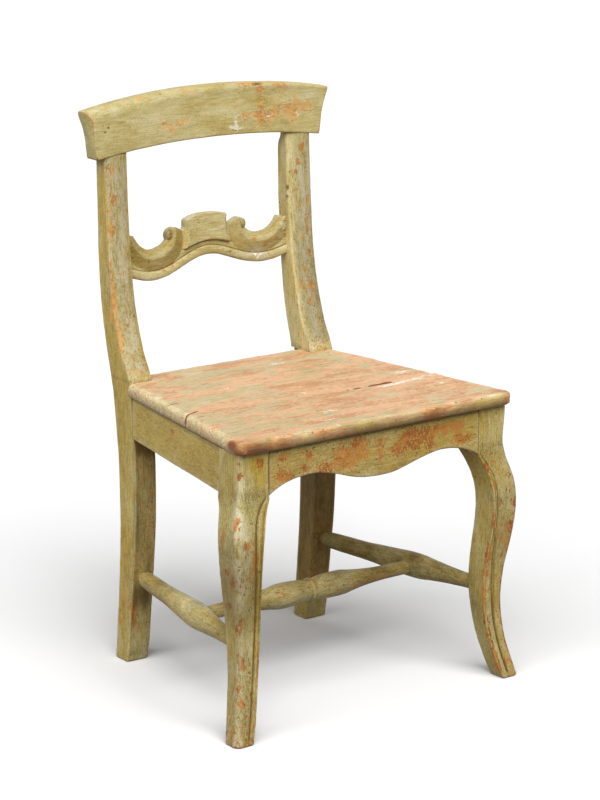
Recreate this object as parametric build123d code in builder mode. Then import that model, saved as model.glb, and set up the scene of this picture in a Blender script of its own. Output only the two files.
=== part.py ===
from build123d import *
import os
from math import hypot

# Painted country side chair: cabriole front legs, swept back posts, two-board seat, carved
# back rail, arched crest rail and an H stretcher. Millimetres, +Z up, the chair faces -Y, and
# the origin is on the floor under the middle of its bounding box. Left is -X.

# ---------------------------------------------------------------- overall
overall_width = 529.0  # across the toes of the front legs
overall_depth = 468.0  # toe of a front leg to the back of the crest rail
seat_height = 450.0  # floor to the top of the seat

# ---------------------------------------------------------------- fits
joint_gap = 0.15  # play on each side of a tenon, and under a scribed shoulder
tenon_end_gap = 1.0  # a mortise is this much deeper than its tenon
board_gap = 0.4  # open joint between the two seat boards
notch_gap = 0.8  # round a back post where the seat is notched for it

# ---------------------------------------------------------------- seat and seat frame
seat_thickness = 20.0
seat_front_overhang = 10.5  # nosing in front of the leg blocks
seat_side_overhang = 9.0  # nosing beside a leg block at the front corner
seat_rear_side_overhang = 4.0  # nosing beside a back post
seat_back_reach = 55.5  # rear edge of the seat, forward of the back line
seat_corner_radius = 17.0
front_board_width = 154.0  # nosing to the joint between the boards
nosing_top_radius = 9.0
nosing_bottom_radius = 7.0

rail_height = 66.0
rail_thickness = 22.0
tenon_thickness = 8.0
tenon_drop = 12.0  # top of a rail to the top of its tenon
tenon_height = 40.0
side_tenon_length = 26.0
side_tenon_inset = 12.0  # outer face of a leg or post to the side of its rail tenon
apron_tenon_length = 24.0
apron_tenon_inset = 7.0  # face of the apron to its tenon
rear_rail_set = 58.0  # rear face of the rear rail, forward of the back line
rear_tenon_length = 12.0

block_section = 18.0  # rubbed blocks glued under the seat
block_length = 80.0

# ---------------------------------------------------------------- front legs
block_width = 51.0  # square block at the top of a leg
block_setback = 20.5  # toe line to the face of the block
outer_block_height = 60.0  # square part of a leg, on its outer faces
inner_block_height = 72.0  # and on its inner faces
toe_width = 31.0

# ---------------------------------------------------------------- back posts
post_width = 37.5
post_spacing = 344.0  # between the centre lines of the posts

# ---------------------------------------------------------------- crest rail, above the seat
crest_thickness = 29.5
crest_half_bottom = 207.0
crest_half_top = 224.0
crest_end_waist = 3.6  # flare of an end at half its height
crest_end_bottom = 333.0
crest_mid_bottom = 349.0
crest_end_top = 407.0
crest_mid_top = 427.5
crest_front_round = 14.0
crest_rear_round = 5.0
crest_tenon_width = 20.0
crest_tenon_thickness = 12.0
crest_tenon_height = 30.0

# ---------------------------------------------------------------- carved back rail
carved_rail_level = 180.0  # middle of the rail above the seat
carved_rail_set = 8.5  # its rear face, forward of the back line
carved_plate = 9.5
scroll_relief = 3.5
bead_relief = 3.0
tablet_relief = 4.5
carved_lean = 0.08  # backward lean, per unit of height
bead_width = 14.0
bead_groove = 1.5
tablet_half_width = 39.0
tablet_foot = 22.5  # lower edge of the rail to the foot of the tablet
scroll_start = 43.0  # inner side of a scroll from the centre line
carved_tenon_length = 12.0
carved_tenon_height = 26.0
carved_tenon_thickness = 7.0

# ---------------------------------------------------------------- stretchers
stretcher_height = 140.0
post_face_set = 84.4  # face of a rear leg at that height, forward of the back line
leg_back_set = 55.4  # back of a front leg at that height, behind the toe line
leg_middle_set = 37.9  # middle of a front leg at that height, inward from the toe line
cross_stretcher_setback = 184.5  # toe line to the cross stretcher
rear_end_radius = 9.0
rear_shoulder = (18, 12.3)  # distance from the rear end, radius
front_end_radius = 11.0
front_shoulder = (45, 12.4)  # distance from the front end, radius
side_swell_radius = 19.5
side_swell = [(-98, 14.3), (-40, 17.8), (0, side_swell_radius), (42, 16.1)]  # ahead of the cross
cross_end_radius = 10.5
cross_neck_radius = 16.0
cross_swell = [(22, 18.3), (48, 19.5), (78, 16.3), (104, 13.1), (134, 11.1)]  # from its middle
cross_ring_radius = 17.5
cross_ring_width = 4.0
stretcher_socket = 15.0  # how deep a stretcher end goes into a leg
stretcher_land = 4.0  # plain end of a stretcher outside its socket
cross_socket = 12.0

# ---------------------------------------------------------------- lines that follow from them
front_line = -overall_depth / 2
back_line = overall_depth / 2
toe_x = overall_width / 2
frame_top = seat_height - seat_thickness
frame_bottom = frame_top - rail_height
block_outer = toe_x - block_setback
block_inner = block_outer - block_width
block_front = front_line + block_setback
block_back = block_front + block_width
post_inner = (post_spacing - post_width) / 2
post_outer = (post_spacing + post_width) / 2
knee_outer = frame_top - outer_block_height  # the outer curve of a leg runs into the block
knee_inner = frame_top - inner_block_height

# Curve of a front leg, the same seen from the front and from the side: height, as a share of
# the height of its knee, and distance inward from the toe line.
leg_outer_curve = [
    (0, 0),
    (0.162 * knee_outer, 13.9),
    (0.338 * knee_outer, 20.2),
    (0.5 * knee_outer, 16.0),
    (0.649 * knee_outer, 8.1),
    (0.762 * knee_outer, 5.2),
    (0.87 * knee_outer, 9.4),
    (0.932 * knee_outer, 16.0),
    (knee_outer, block_setback),
]
leg_inner_curve = [
    (0, toe_width),
    (0.168 * knee_inner, 46.4),
    (0.349 * knee_inner, 54.9),
    (0.517 * knee_inner, 54.6),
    (0.67 * knee_inner, 50.8),
    (0.8 * knee_inner, 50.8),
    (0.91 * knee_inner, 58.0),
    (knee_inner, block_setback + block_width),
]

# Side profile of a back post: height, and distance forward of the back line. It is straight
# where the side rail and the seat meet it.
post_front_below = [
    (0, 68.4),
    (0.288 * frame_bottom, 80.4),
    (0.533 * frame_bottom, 91.0),
    (0.797 * frame_bottom, 94.8),
    (frame_bottom, 93.2),
]
post_front_above = [
    (seat_height, 86.0),
    (seat_height + 14, 80.8),
    (seat_height + 35, 71.2),
    (seat_height + 70, 58.3),
    (seat_height + 110, 47.2),
    (seat_height + 165, 38.5),
    (seat_height + 240, 32.8),
    (seat_height + crest_mid_bottom, 27.5),
]
post_rear = [
    (0, 35.0),
    (0.2 * seat_height, 44.8),
    (0.4 * seat_height, 50.9),
    (0.573 * seat_height, 53.0),
    (0.8 * seat_height, 46.6),
    (seat_height - 30, 38.9),
    (seat_height + 34, 25.2),
    (seat_height + 95, 13.0),
    (seat_height + 170, 5.2),
    (seat_height + 260, 1.2),
    (seat_height + crest_mid_bottom, 0.3),
]

# Half outlines of the carved rail from its centre line: distance out, and height above the
# seat. The lower edge runs out to the post, the upper one comes back from it.
carved_lower = [(0, 165.2), (35, 158.0), (68, 145.5), (104, 139.6), (135, 143.8)]
carved_end_bottom = 149.0
carved_end_top = 205.5
scroll_tip = (135, 207.0)
scroll_trough = [(124.5, 193.0), (104, 184.8), (87, 187.4), (76.5, 192.5)]
volute_top = (64, 213.2)
volute_inner = (48, 206.5)
tablet_shoulder = 224.5
tablet_crown = 230.5
tablet_sill_end = 157.0  # the sill follows the lower edge, this high at the tablet's sides


def y_from_toe(setback):
    """Y of a point that lies this far behind the toe line."""
    return front_line + setback


def y_from_back(forward):
    """Y of a point that lies this far forward of the back line."""
    return back_line - forward


def on_side(side, x):
    """X of a point on the left (side -1) or right (side 1) half of the chair."""
    return side * x


# ---------------------------------------------------------------- side rails: plan of one rail
# Its outer face runs flush from the corner of the back post to the corner of the leg block.
post_face_low = y_from_back(post_front_below[-1][1])
post_face_seat = y_from_back(post_front_above[0][1])
post_face_lean = (post_face_seat - post_face_low) / (seat_height - frame_bottom)
post_face_high = post_face_low + post_face_lean * rail_height
rail_run = hypot(block_outer - post_outer, post_face_low - block_back)
rail_slope = (block_outer - post_outer) / (post_face_low - block_back)
rail_inset = rail_thickness * rail_run / (post_face_low - block_back)  # thickness along X
side_tenon_front_x = block_outer - side_tenon_inset - tenon_thickness / 2
tenon_bottom = frame_top - tenon_drop - tenon_height
rear_tenon_x = post_outer - side_tenon_inset - tenon_thickness / 2
rear_rail_back = y_from_back(rear_rail_set)
rear_rail_middle = rear_rail_back - rail_thickness / 2
apron_tenon_y = block_front + apron_tenon_inset + tenon_thickness / 2

# Lower edge of the apron: share of the way from the middle to the leg block, and drop below
# the top of the seat frame. The last point runs into the inner curve of the leg.
apron_half_edge = [
    (0, 71.0),
    (0.18, 68.0),
    (0.36, 57.6),
    (0.54, 49.6),
    (0.69, 49.9),
    (0.83, 55.8),
    (0.93, 64.0),
    (1, inner_block_height),
]
apron_edge = [(-share, drop) for share, drop in reversed(apron_half_edge[1:])] + apron_half_edge

# ---------------------------------------------------------------- seat: its outline
seat_front = block_front - seat_front_overhang
seat_back = y_from_back(seat_back_reach)
seat_front_half = block_outer + seat_side_overhang
seat_post_half = post_outer + seat_rear_side_overhang
seat_taper = (seat_front_half - seat_post_half) / (post_face_high - seat_front)
seat_rear_half = seat_post_half - seat_taper * (seat_back - post_face_high)
board_joint = seat_front + front_board_width

# ---------------------------------------------------------------- stretchers: their centre lines
stretcher_rear_y = y_from_back(post_face_set)
stretcher_front_y = y_from_toe(leg_back_set)
stretcher_rear_x = post_spacing / 2
stretcher_front_x = toe_x - leg_middle_set
cross_y = y_from_toe(cross_stretcher_setback)
stretcher_fall = (stretcher_rear_y - cross_y) / (stretcher_rear_y - stretcher_front_y)
cross_x = stretcher_rear_x + (stretcher_front_x - stretcher_rear_x) * stretcher_fall
cross_half = cross_x - side_swell_radius + cross_socket


# ---------------------------------------------------------------- carved back rail: its plane
# The plane is the front of the plate, at the middle of the rail, leaning back with the posts.
carved_plate_front = y_from_back(carved_rail_set) - carved_plate
carved_plane = Plane(
    origin=(0, carved_plate_front, seat_height + carved_rail_level),
    x_dir=(1, 0, 0),
    z_dir=(0, -1, carved_lean),
)
carved_tenon_level = (carved_end_bottom + carved_end_top) / 2 - carved_rail_level


def rail_outer_x(y):
    """X of the outer face of a side rail at this Y, on the right half of the chair."""
    return post_outer + rail_slope * (post_face_low - y)


def stretcher_axis(side):
    """Rear end point, front end point and direction of a side stretcher."""
    rear = Vector(on_side(side, stretcher_rear_x), stretcher_rear_y, stretcher_height)
    front = Vector(on_side(side, stretcher_front_x), stretcher_front_y, stretcher_height)
    return rear, front, (front - rear).normalized()


def front_leg(side):
    """Cabriole leg sawn to one curve on two faces, with its block, mortises and socket."""
    rear, front, along = stretcher_axis(side)
    with BuildPart() as leg:
        with BuildSketch(Plane.XZ):
            with BuildLine():
                Spline(*[(on_side(side, toe_x - inward), z) for z, inward in leg_outer_curve])
                Polyline(
                    (on_side(side, block_outer), knee_outer),
                    (on_side(side, block_outer), frame_top),
                    (on_side(side, block_inner), frame_top),
                    (on_side(side, block_inner), knee_inner),
                )
                Spline(*[(on_side(side, toe_x - inward), z) for z, inward in leg_inner_curve])
                Line((on_side(side, toe_x), 0), (on_side(side, toe_x - toe_width), 0))
            make_face()
        extrude(amount=overall_depth / 2, both=True)
        with BuildSketch(Plane.YZ):
            with BuildLine():
                Spline(*[(y_from_toe(inward), z) for z, inward in leg_outer_curve])
                Polyline(
                    (block_front, knee_outer),
                    (block_front, frame_top),
                    (block_back, frame_top),
                    (block_back, knee_inner),
                )
                Spline(*[(y_from_toe(inward), z) for z, inward in leg_inner_curve])
                Line((front_line, 0), (front_line + toe_width, 0))
            make_face()
        extrude(amount=overall_width, both=True, mode=Mode.INTERSECT)
        with BuildSketch(Plane.XY.offset(tenon_bottom - joint_gap)):
            with Locations((on_side(side, side_tenon_front_x), block_back)):
                Rectangle(
                    tenon_thickness + 2 * joint_gap,
                    2 * (side_tenon_length + tenon_end_gap),
                )
            with Locations((on_side(side, block_inner), apron_tenon_y)):
                Rectangle(
                    2 * (apron_tenon_length + tenon_end_gap),
                    tenon_thickness + 2 * joint_gap,
                )
        extrude(amount=tenon_height + 2 * joint_gap, mode=Mode.SUBTRACT)
        with BuildSketch(Plane(origin=front, z_dir=along)):
            Circle(front_end_radius + joint_gap)
        extrude(amount=stretcher_socket + tenon_end_gap, mode=Mode.SUBTRACT)
        with BuildSketch(Plane(origin=front, z_dir=along)):
            Circle(front_end_radius + joint_gap)
        extrude(amount=-block_width / 2, mode=Mode.SUBTRACT)
    return leg


def back_post(side):
    """Rear leg and back post in one piece, tenoned into the crest rail."""
    rear, front, along = stretcher_axis(side)
    with BuildPart() as post:
        with BuildSketch(Plane.YZ.offset(on_side(side, post_spacing / 2))):
            with BuildLine():
                below = Spline(*[(y_from_back(forward), z) for z, forward in post_front_below])
                above = Spline(*[(y_from_back(forward), z) for z, forward in post_front_above])
                Line(below @ 1, above @ 0)
                Line(above @ 1, (y_from_back(post_rear[-1][1]), post_rear[-1][0]))
                Spline(*[(y_from_back(forward), z) for z, forward in reversed(post_rear)])
                Line((y_from_back(post_rear[0][1]), 0), below @ 0)
            make_face()
        extrude(amount=post_width / 2, both=True)
        with BuildSketch(Plane.XZ.offset(-back_line)):
            with BuildLine():
                arch = ThreePointArc(
                    (-crest_half_bottom, seat_height + crest_end_bottom - joint_gap),
                    (0, seat_height + crest_mid_bottom - joint_gap),
                    (crest_half_bottom, seat_height + crest_end_bottom - joint_gap),
                )
                Polyline(
                    arch @ 1,
                    (crest_half_bottom, seat_height + crest_mid_top),
                    (-crest_half_bottom, seat_height + crest_mid_top),
                    arch @ 0,
                )
            make_face()
        extrude(amount=overall_depth / 2, mode=Mode.SUBTRACT)
        with BuildSketch(Plane.XY.offset(seat_height + crest_end_bottom)):
            with Locations((on_side(side, post_spacing / 2), back_line - crest_thickness / 2)):
                Rectangle(crest_tenon_width, crest_tenon_thickness)
        extrude(amount=crest_tenon_height + crest_mid_bottom - crest_end_bottom)
        with BuildSketch(Plane.XY.offset(tenon_bottom - joint_gap)):
            with Locations((on_side(side, rear_tenon_x), post_face_low)):
                Rectangle(
                    tenon_thickness + 2 * joint_gap,
                    2 * (side_tenon_length + tenon_end_gap),
                )
            with Locations((on_side(side, post_inner), rear_rail_middle)):
                Rectangle(
                    2 * (rear_tenon_length + tenon_end_gap),
                    tenon_thickness + 2 * joint_gap,
                )
        extrude(amount=tenon_height + 2 * joint_gap, mode=Mode.SUBTRACT)
        with BuildSketch(carved_plane.offset(-carved_plate / 2)):
            with Locations((on_side(side, post_inner), carved_tenon_level)):
                Rectangle(
                    2 * (carved_tenon_length + tenon_end_gap),
                    carved_tenon_height + 2 * joint_gap,
                )
        extrude(
            amount=carved_tenon_thickness / 2 + joint_gap,
            both=True,
            mode=Mode.SUBTRACT,
        )
        with BuildSketch(Plane(origin=rear, z_dir=along)):
            Circle(rear_end_radius + joint_gap)
        extrude(amount=post_width / 2, mode=Mode.SUBTRACT)
        with BuildSketch(Plane(origin=rear, z_dir=along)):
            Circle(rear_end_radius + joint_gap)
        extrude(amount=-(stretcher_socket + tenon_end_gap), mode=Mode.SUBTRACT)
    return post


def carved_points(points, side, lift=0):
    """Half-outline points on the plane of the carved rail, on one side of the centre line."""
    return [(on_side(side, x), z + lift - carved_rail_level) for x, z in points]


def lower_edge(lift=0):
    """Points of the whole lower edge, left to right, raised by lift."""
    half = carved_lower + [(post_inner, carved_end_bottom)]
    left = carved_points(reversed(half), -1, lift)
    return left + carved_points(half[1:], 1, lift)


def side_rail(side):
    """Rail from a back post to a leg block: flush outside, tenoned at both ends."""
    with BuildPart() as rail:
        with BuildSketch(Plane.XY.offset(frame_bottom)):
            with BuildLine():
                Polyline(
                    (on_side(side, rail_outer_x(post_face_high)), post_face_high),
                    (on_side(side, block_outer), block_back),
                    (on_side(side, block_outer - rail_inset), block_back),
                    (on_side(side, rail_outer_x(post_face_high) - rail_inset), post_face_high),
                    close=True,
                )
            make_face()
        extrude(amount=rail_height)
        with BuildSketch(Plane.YZ):
            with BuildLine():
                Polyline(
                    (post_face_low, frame_bottom),
                    (post_face_high, frame_top),
                    (post_face_high, frame_bottom),
                    close=True,
                )
            make_face()
        extrude(amount=overall_width, both=True, mode=Mode.SUBTRACT)
        with BuildSketch(Plane.XY.offset(tenon_bottom)):
            with Locations((on_side(side, side_tenon_front_x), block_back)):
                Rectangle(tenon_thickness, 2 * side_tenon_length)
            with Locations((on_side(side, rear_tenon_x), post_face_low)):
                Rectangle(tenon_thickness, 2 * side_tenon_length)
        extrude(amount=tenon_height)
    return rail


def side_stretcher(side):
    """Turned stretcher between a rear leg and a front leg, bored for the cross stretcher."""
    rear, front, along = stretcher_axis(side)
    length = (front - rear).length
    to_cross = length * stretcher_fall
    with BuildPart() as stretcher:
        with BuildSketch(Plane(origin=rear, x_dir=along, z_dir=(0, 0, 1))):
            with BuildLine():
                Polyline(
                    (stretcher_land, rear_end_radius),
                    (-stretcher_socket, rear_end_radius),
                    (-stretcher_socket, 0),
                    (length + stretcher_socket, 0),
                    (length + stretcher_socket, front_end_radius),
                    (length - stretcher_land, front_end_radius),
                )
                Spline(
                    (stretcher_land, rear_end_radius),
                    rear_shoulder,
                    *[(to_cross + ahead, radius) for ahead, radius in side_swell],
                    (length - front_shoulder[0], front_shoulder[1]),
                    (length - stretcher_land, front_end_radius),
                )
            make_face()
        revolve(axis=Axis(rear, along))
        with BuildSketch(Plane.YZ.offset(on_side(side, cross_x - 2 * side_swell_radius))):
            with Locations((cross_y, stretcher_height)):
                Circle(cross_end_radius + joint_gap)
        extrude(
            amount=on_side(side, side_swell_radius + cross_socket + tenon_end_gap),
            mode=Mode.SUBTRACT,
        )
    return stretcher


def seat_blank(front, back):
    """The seat between two lines across it, notched round the back posts."""
    with BuildPart() as board:
        with BuildSketch(Plane.XY.offset(frame_top)) as outline:
            with BuildLine():
                Polyline(
                    (-seat_front_half, seat_front),
                    (seat_front_half, seat_front),
                    (seat_rear_half, seat_back),
                    (-seat_rear_half, seat_back),
                    close=True,
                )
            make_face()
            fillet(outline.vertices().sort_by(Axis.Y)[0:2], radius=seat_corner_radius)
        extrude(amount=seat_thickness)
        for side in (-1, 1):
            with BuildSketch(Plane.YZ.offset(on_side(side, post_inner - notch_gap))):
                with BuildLine():
                    Polyline(
                        (post_face_high - notch_gap, frame_top),
                        (post_face_seat - notch_gap, seat_height),
                        (back_line, seat_height),
                        (back_line, frame_top),
                        close=True,
                    )
                make_face()
            extrude(amount=on_side(side, overall_width), mode=Mode.SUBTRACT)
        split(bisect_by=Plane.XZ.offset(-back), keep=Keep.TOP)
        split(bisect_by=Plane.XZ.offset(-front), keep=Keep.BOTTOM)
    return board


def rubbed_block(plane):
    """Glue block under the seat: it lies along x of the plane, against the plane's origin."""
    with BuildPart() as block:
        with BuildSketch(plane):
            Rectangle(block_length, block_section, align=(Align.CENTER, Align.MIN))
        extrude(amount=-block_section)
    return block


left_front_leg = front_leg(-1)
right_front_leg = front_leg(1)
left_back_post = back_post(-1)
right_back_post = back_post(1)
left_side_rail = side_rail(-1)
right_side_rail = side_rail(1)
left_side_stretcher = side_stretcher(-1)
right_side_stretcher = side_stretcher(1)

with BuildPart() as front_apron:
    with BuildSketch(Plane.XZ.offset(-block_front)):
        with BuildLine():
            scallop = Spline(*[(share * block_inner, frame_top - drop) for share, drop in apron_edge])
            Polyline(scallop @ 1, (block_inner, frame_top), (-block_inner, frame_top), scallop @ 0)
        make_face()
    extrude(amount=-rail_thickness)
    with BuildSketch(Plane.XY.offset(tenon_bottom)):
        with Locations((-block_inner, apron_tenon_y), (block_inner, apron_tenon_y)):
            Rectangle(2 * apron_tenon_length, tenon_thickness)
    extrude(amount=tenon_height)

with BuildPart() as rear_seat_rail:
    with BuildSketch(Plane.XY.offset(frame_bottom)):
        with Locations((0, rear_rail_middle)):
            Rectangle(2 * post_inner, rail_thickness)
    extrude(amount=rail_height)
    with BuildSketch(Plane.XY.offset(tenon_bottom)):
        with Locations((-post_inner, rear_rail_middle), (post_inner, rear_rail_middle)):
            Rectangle(2 * rear_tenon_length, tenon_thickness)
    extrude(amount=tenon_height)

seat_front_board = seat_blank(seat_front, board_joint - board_gap / 2)
with seat_front_board:
    for face, radius in ((-1, nosing_top_radius), (0, nosing_bottom_radius)):
        rim = seat_front_board.faces().sort_by(Axis.Z)[face].edges()
        fillet(rim.sort_by(Axis.Y)[:-1], radius=radius)

seat_rear_board = seat_blank(board_joint + board_gap / 2, seat_back)
with seat_rear_board:
    for face, radius in ((-1, nosing_top_radius), (0, nosing_bottom_radius)):
        rim = seat_rear_board.faces().sort_by(Axis.Z)[face].edges()
        fillet([rim.sort_by(Axis.X)[0], rim.sort_by(Axis.X)[-1]], radius=radius)

with BuildPart() as crest_rail:
    with BuildSketch(Plane.XZ.offset(-back_line)):
        with BuildLine():
            soffit = ThreePointArc(
                (-crest_half_bottom, seat_height + crest_end_bottom),
                (0, seat_height + crest_mid_bottom),
                (crest_half_bottom, seat_height + crest_end_bottom),
            )
            crown = ThreePointArc(
                (-crest_half_top, seat_height + crest_end_top),
                (0, seat_height + crest_mid_top),
                (crest_half_top, seat_height + crest_end_top),
            )
            waist_level = seat_height + (crest_end_bottom + crest_end_top) / 2
            waist_half = crest_half_bottom + crest_end_waist
            ThreePointArc(soffit @ 1, (waist_half, waist_level), crown @ 1)
            ThreePointArc(soffit @ 0, (-waist_half, waist_level), crown @ 0)
        make_face()
    extrude(amount=crest_thickness)
    crown_rim = crest_rail.faces().sort_by(Axis.Z)[-1].edges().sort_by(Axis.Y)
    fillet(crown_rim[0], radius=crest_front_round)
    crown_rim = crest_rail.faces().sort_by(Axis.Z)[-1].edges().sort_by(Axis.Y)
    fillet(crown_rim[-1], radius=crest_rear_round)
    with BuildSketch(Plane.XY.offset(frame_top + crest_end_bottom)):
        with Locations(
            (-post_spacing / 2, back_line - crest_thickness / 2),
            (post_spacing / 2, back_line - crest_thickness / 2),
        ):
            Rectangle(
                crest_tenon_width + 2 * joint_gap,
                crest_tenon_thickness + 2 * joint_gap,
            )
    extrude(
        amount=seat_thickness + crest_mid_bottom - crest_end_bottom
        + crest_tenon_height + tenon_end_gap,
        mode=Mode.SUBTRACT,
    )

with BuildSketch(carved_plane) as carved_outline:
    with BuildLine():
        under = Spline(*lower_edge())
        for side in (-1, 1):
            tip, *trough, volute_outer = carved_points([scroll_tip, *scroll_trough], side)
            end_low, end_high = carved_points(
                [(post_inner, carved_end_bottom), (post_inner, carved_end_top)], side
            )
            Polyline(end_low, end_high, tip)
            Spline(tip, *trough, volute_outer)
            over, inner, foot, shoulder = carved_points(
                [
                    volute_top,
                    volute_inner,
                    (tablet_half_width, volute_inner[1]),
                    (tablet_half_width, tablet_shoulder),
                ],
                side,
            )
            ThreePointArc(volute_outer, over, inner)
            Polyline(inner, foot, shoulder)
        crown_left, crown_top = carved_points(
            [(tablet_half_width, tablet_shoulder), (0, tablet_crown)], -1
        )
        crown_right = carved_points([(tablet_half_width, tablet_shoulder)], 1)[0]
        ThreePointArc(crown_left, crown_top, crown_right)
    make_face()

with BuildSketch(carved_plane) as bead_area:
    with BuildLine():
        Spline(*lower_edge())
        Spline(*lower_edge(bead_width))
        for side in (-1, 1):
            end = [(post_inner, carved_end_bottom), (post_inner, carved_end_bottom + bead_width)]
            Line(*carved_points(end, side))
    make_face()

with BuildSketch(carved_plane) as scroll_area:
    add(carved_outline.sketch_local)
    with BuildLine():
        ledge = Spline(*lower_edge(bead_width + bead_groove))
        Polyline(
            ledge @ 0,
            (-post_inner, -carved_rail_level),
            (post_inner, -carved_rail_level),
            ledge @ 1,
        )
    make_face(mode=Mode.SUBTRACT)
    Rectangle(2 * scroll_start, 2 * carved_rail_level, mode=Mode.SUBTRACT)

with BuildSketch(carved_plane) as tablet_area:
    with BuildLine():
        sill = ThreePointArc(
            *carved_points([(tablet_half_width, tablet_sill_end)], -1, tablet_foot),
            *carved_points(carved_lower[:1], 1, tablet_foot),
            *carved_points([(tablet_half_width, tablet_sill_end)], 1, tablet_foot),
        )
        crown = ThreePointArc(crown_left, crown_top, crown_right)
        Line(sill @ 0, crown @ 0)
        Line(sill @ 1, crown @ 1)
    make_face()

with BuildPart() as carved_back_rail:
    extrude(carved_outline.sketch, amount=-carved_plate)
    extrude(bead_area.sketch, amount=bead_relief)
    extrude(scroll_area.sketch, amount=scroll_relief)
    extrude(tablet_area.sketch, amount=tablet_relief)
    with BuildSketch(carved_plane.offset(-carved_plate / 2)):
        with Locations((-post_inner, carved_tenon_level), (post_inner, carved_tenon_level)):
            Rectangle(2 * carved_tenon_length, carved_tenon_height)
    extrude(amount=carved_tenon_thickness / 2, both=True)

with BuildPart() as cross_stretcher:
    with BuildSketch(Plane(origin=(0, cross_y, stretcher_height), x_dir=(1, 0, 0), z_dir=(0, 0, 1))):
        with BuildLine():
            for side in (-1, 1):
                Spline(
                    (on_side(side, cross_ring_width), cross_neck_radius),
                    *[(on_side(side, out), radius) for out, radius in cross_swell],
                    (on_side(side, cross_half), cross_end_radius),
                )
                Polyline(
                    (on_side(side, cross_ring_width), cross_neck_radius),
                    (on_side(side, cross_ring_width / 2), cross_ring_radius),
                    (0, cross_ring_radius),
                )
                Polyline(
                    (on_side(side, cross_half), cross_end_radius),
                    (on_side(side, cross_half), 0),
                    (0, 0),
                )
        make_face()
    revolve(axis=Axis((0, cross_y, stretcher_height), (1, 0, 0)))

front_seat_block = rubbed_block(
    Plane(origin=(0, block_front + rail_thickness, frame_top), x_dir=(1, 0, 0), z_dir=(0, 0, 1))
)
rear_seat_block = rubbed_block(
    Plane(origin=(0, rear_rail_back - rail_thickness, frame_top), x_dir=(-1, 0, 0), z_dir=(0, 0, 1))
)
rail_middle_y = (block_back + post_face_low) / 2
rail_face_x = rail_outer_x(rail_middle_y) - rail_inset
left_seat_block = rubbed_block(
    Plane(
        origin=(-rail_face_x, rail_middle_y, frame_top),
        x_dir=(-rail_slope, -1, 0),
        z_dir=(0, 0, 1),
    )
)
right_seat_block = rubbed_block(
    Plane(
        origin=(rail_face_x, rail_middle_y, frame_top),
        x_dir=(-rail_slope, 1, 0),
        z_dir=(0, 0, 1),
    )
)

pieces = {
    "left_front_leg": left_front_leg,
    "right_front_leg": right_front_leg,
    "left_back_post": left_back_post,
    "right_back_post": right_back_post,
    "front_apron": front_apron,
    "rear_seat_rail": rear_seat_rail,
    "left_side_rail": left_side_rail,
    "right_side_rail": right_side_rail,
    "seat_front_board": seat_front_board,
    "seat_rear_board": seat_rear_board,
    "crest_rail": crest_rail,
    "carved_back_rail": carved_back_rail,
    "left_side_stretcher": left_side_stretcher,
    "right_side_stretcher": right_side_stretcher,
    "cross_stretcher": cross_stretcher,
    "front_seat_block": front_seat_block,
    "rear_seat_block": rear_seat_block,
    "left_seat_block": left_seat_block,
    "right_seat_block": right_seat_block,
}

os.makedirs("parts", exist_ok=True)
for name, piece in pieces.items():
    piece.part.label = name
    export_step(piece.part, f"parts/{name}.step")
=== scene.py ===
"""Painted country side chair: its visible pieces, their worn finishes, the light and the camera."""
import logging
import math
from dataclasses import dataclass, field, replace
from enum import Enum
from typing import Callable, Iterable, Sequence

import bpy
import numpy as np
from mathutils import Matrix, Vector


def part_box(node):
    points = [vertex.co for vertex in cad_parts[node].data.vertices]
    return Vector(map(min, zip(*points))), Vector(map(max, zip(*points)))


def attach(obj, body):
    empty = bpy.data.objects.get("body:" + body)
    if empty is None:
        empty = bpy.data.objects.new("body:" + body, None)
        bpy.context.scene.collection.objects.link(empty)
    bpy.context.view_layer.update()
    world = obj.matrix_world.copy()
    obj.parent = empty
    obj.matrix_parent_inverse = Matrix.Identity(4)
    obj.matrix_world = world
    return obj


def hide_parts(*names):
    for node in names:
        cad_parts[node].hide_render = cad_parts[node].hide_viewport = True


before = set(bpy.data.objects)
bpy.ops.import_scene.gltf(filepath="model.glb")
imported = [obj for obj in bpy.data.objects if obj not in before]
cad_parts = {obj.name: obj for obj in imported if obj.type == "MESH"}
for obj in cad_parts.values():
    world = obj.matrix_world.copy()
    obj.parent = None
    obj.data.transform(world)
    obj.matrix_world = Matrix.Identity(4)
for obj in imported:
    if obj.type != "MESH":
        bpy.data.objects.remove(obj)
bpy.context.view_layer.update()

log = logging.getLogger("side_chair")
MM = 0.001
Curve = Callable[[np.ndarray], np.ndarray]
Knots = tuple[tuple[float, float], ...]
Place = tuple[float, float, float]
Colour = tuple[float, float, float]
Material = bpy.types.Material
Socket = bpy.types.NodeSocket
# Marks on each mesh. Besides wear, dirt and tone, deep and shade also carry painted shade, and shade above 0
# and the pale rub mark carry painted light.
MARKS = ("worn", "deep", "rubbed", "bare", "scuffed", "spotted", "shade", "amber")
MARK_LIMITS = (-1.5, 2.0)


# --- plain geometry
def node_box(node: str) -> tuple[np.ndarray, np.ndarray]:
    """Lowest and highest corner of a CAD node.

    Args:
        node: Name of the node.

    Returns:
        The two corners in millimetres.
    """
    low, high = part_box(node)
    return np.array(low) / MM, np.array(high) / MM


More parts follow.
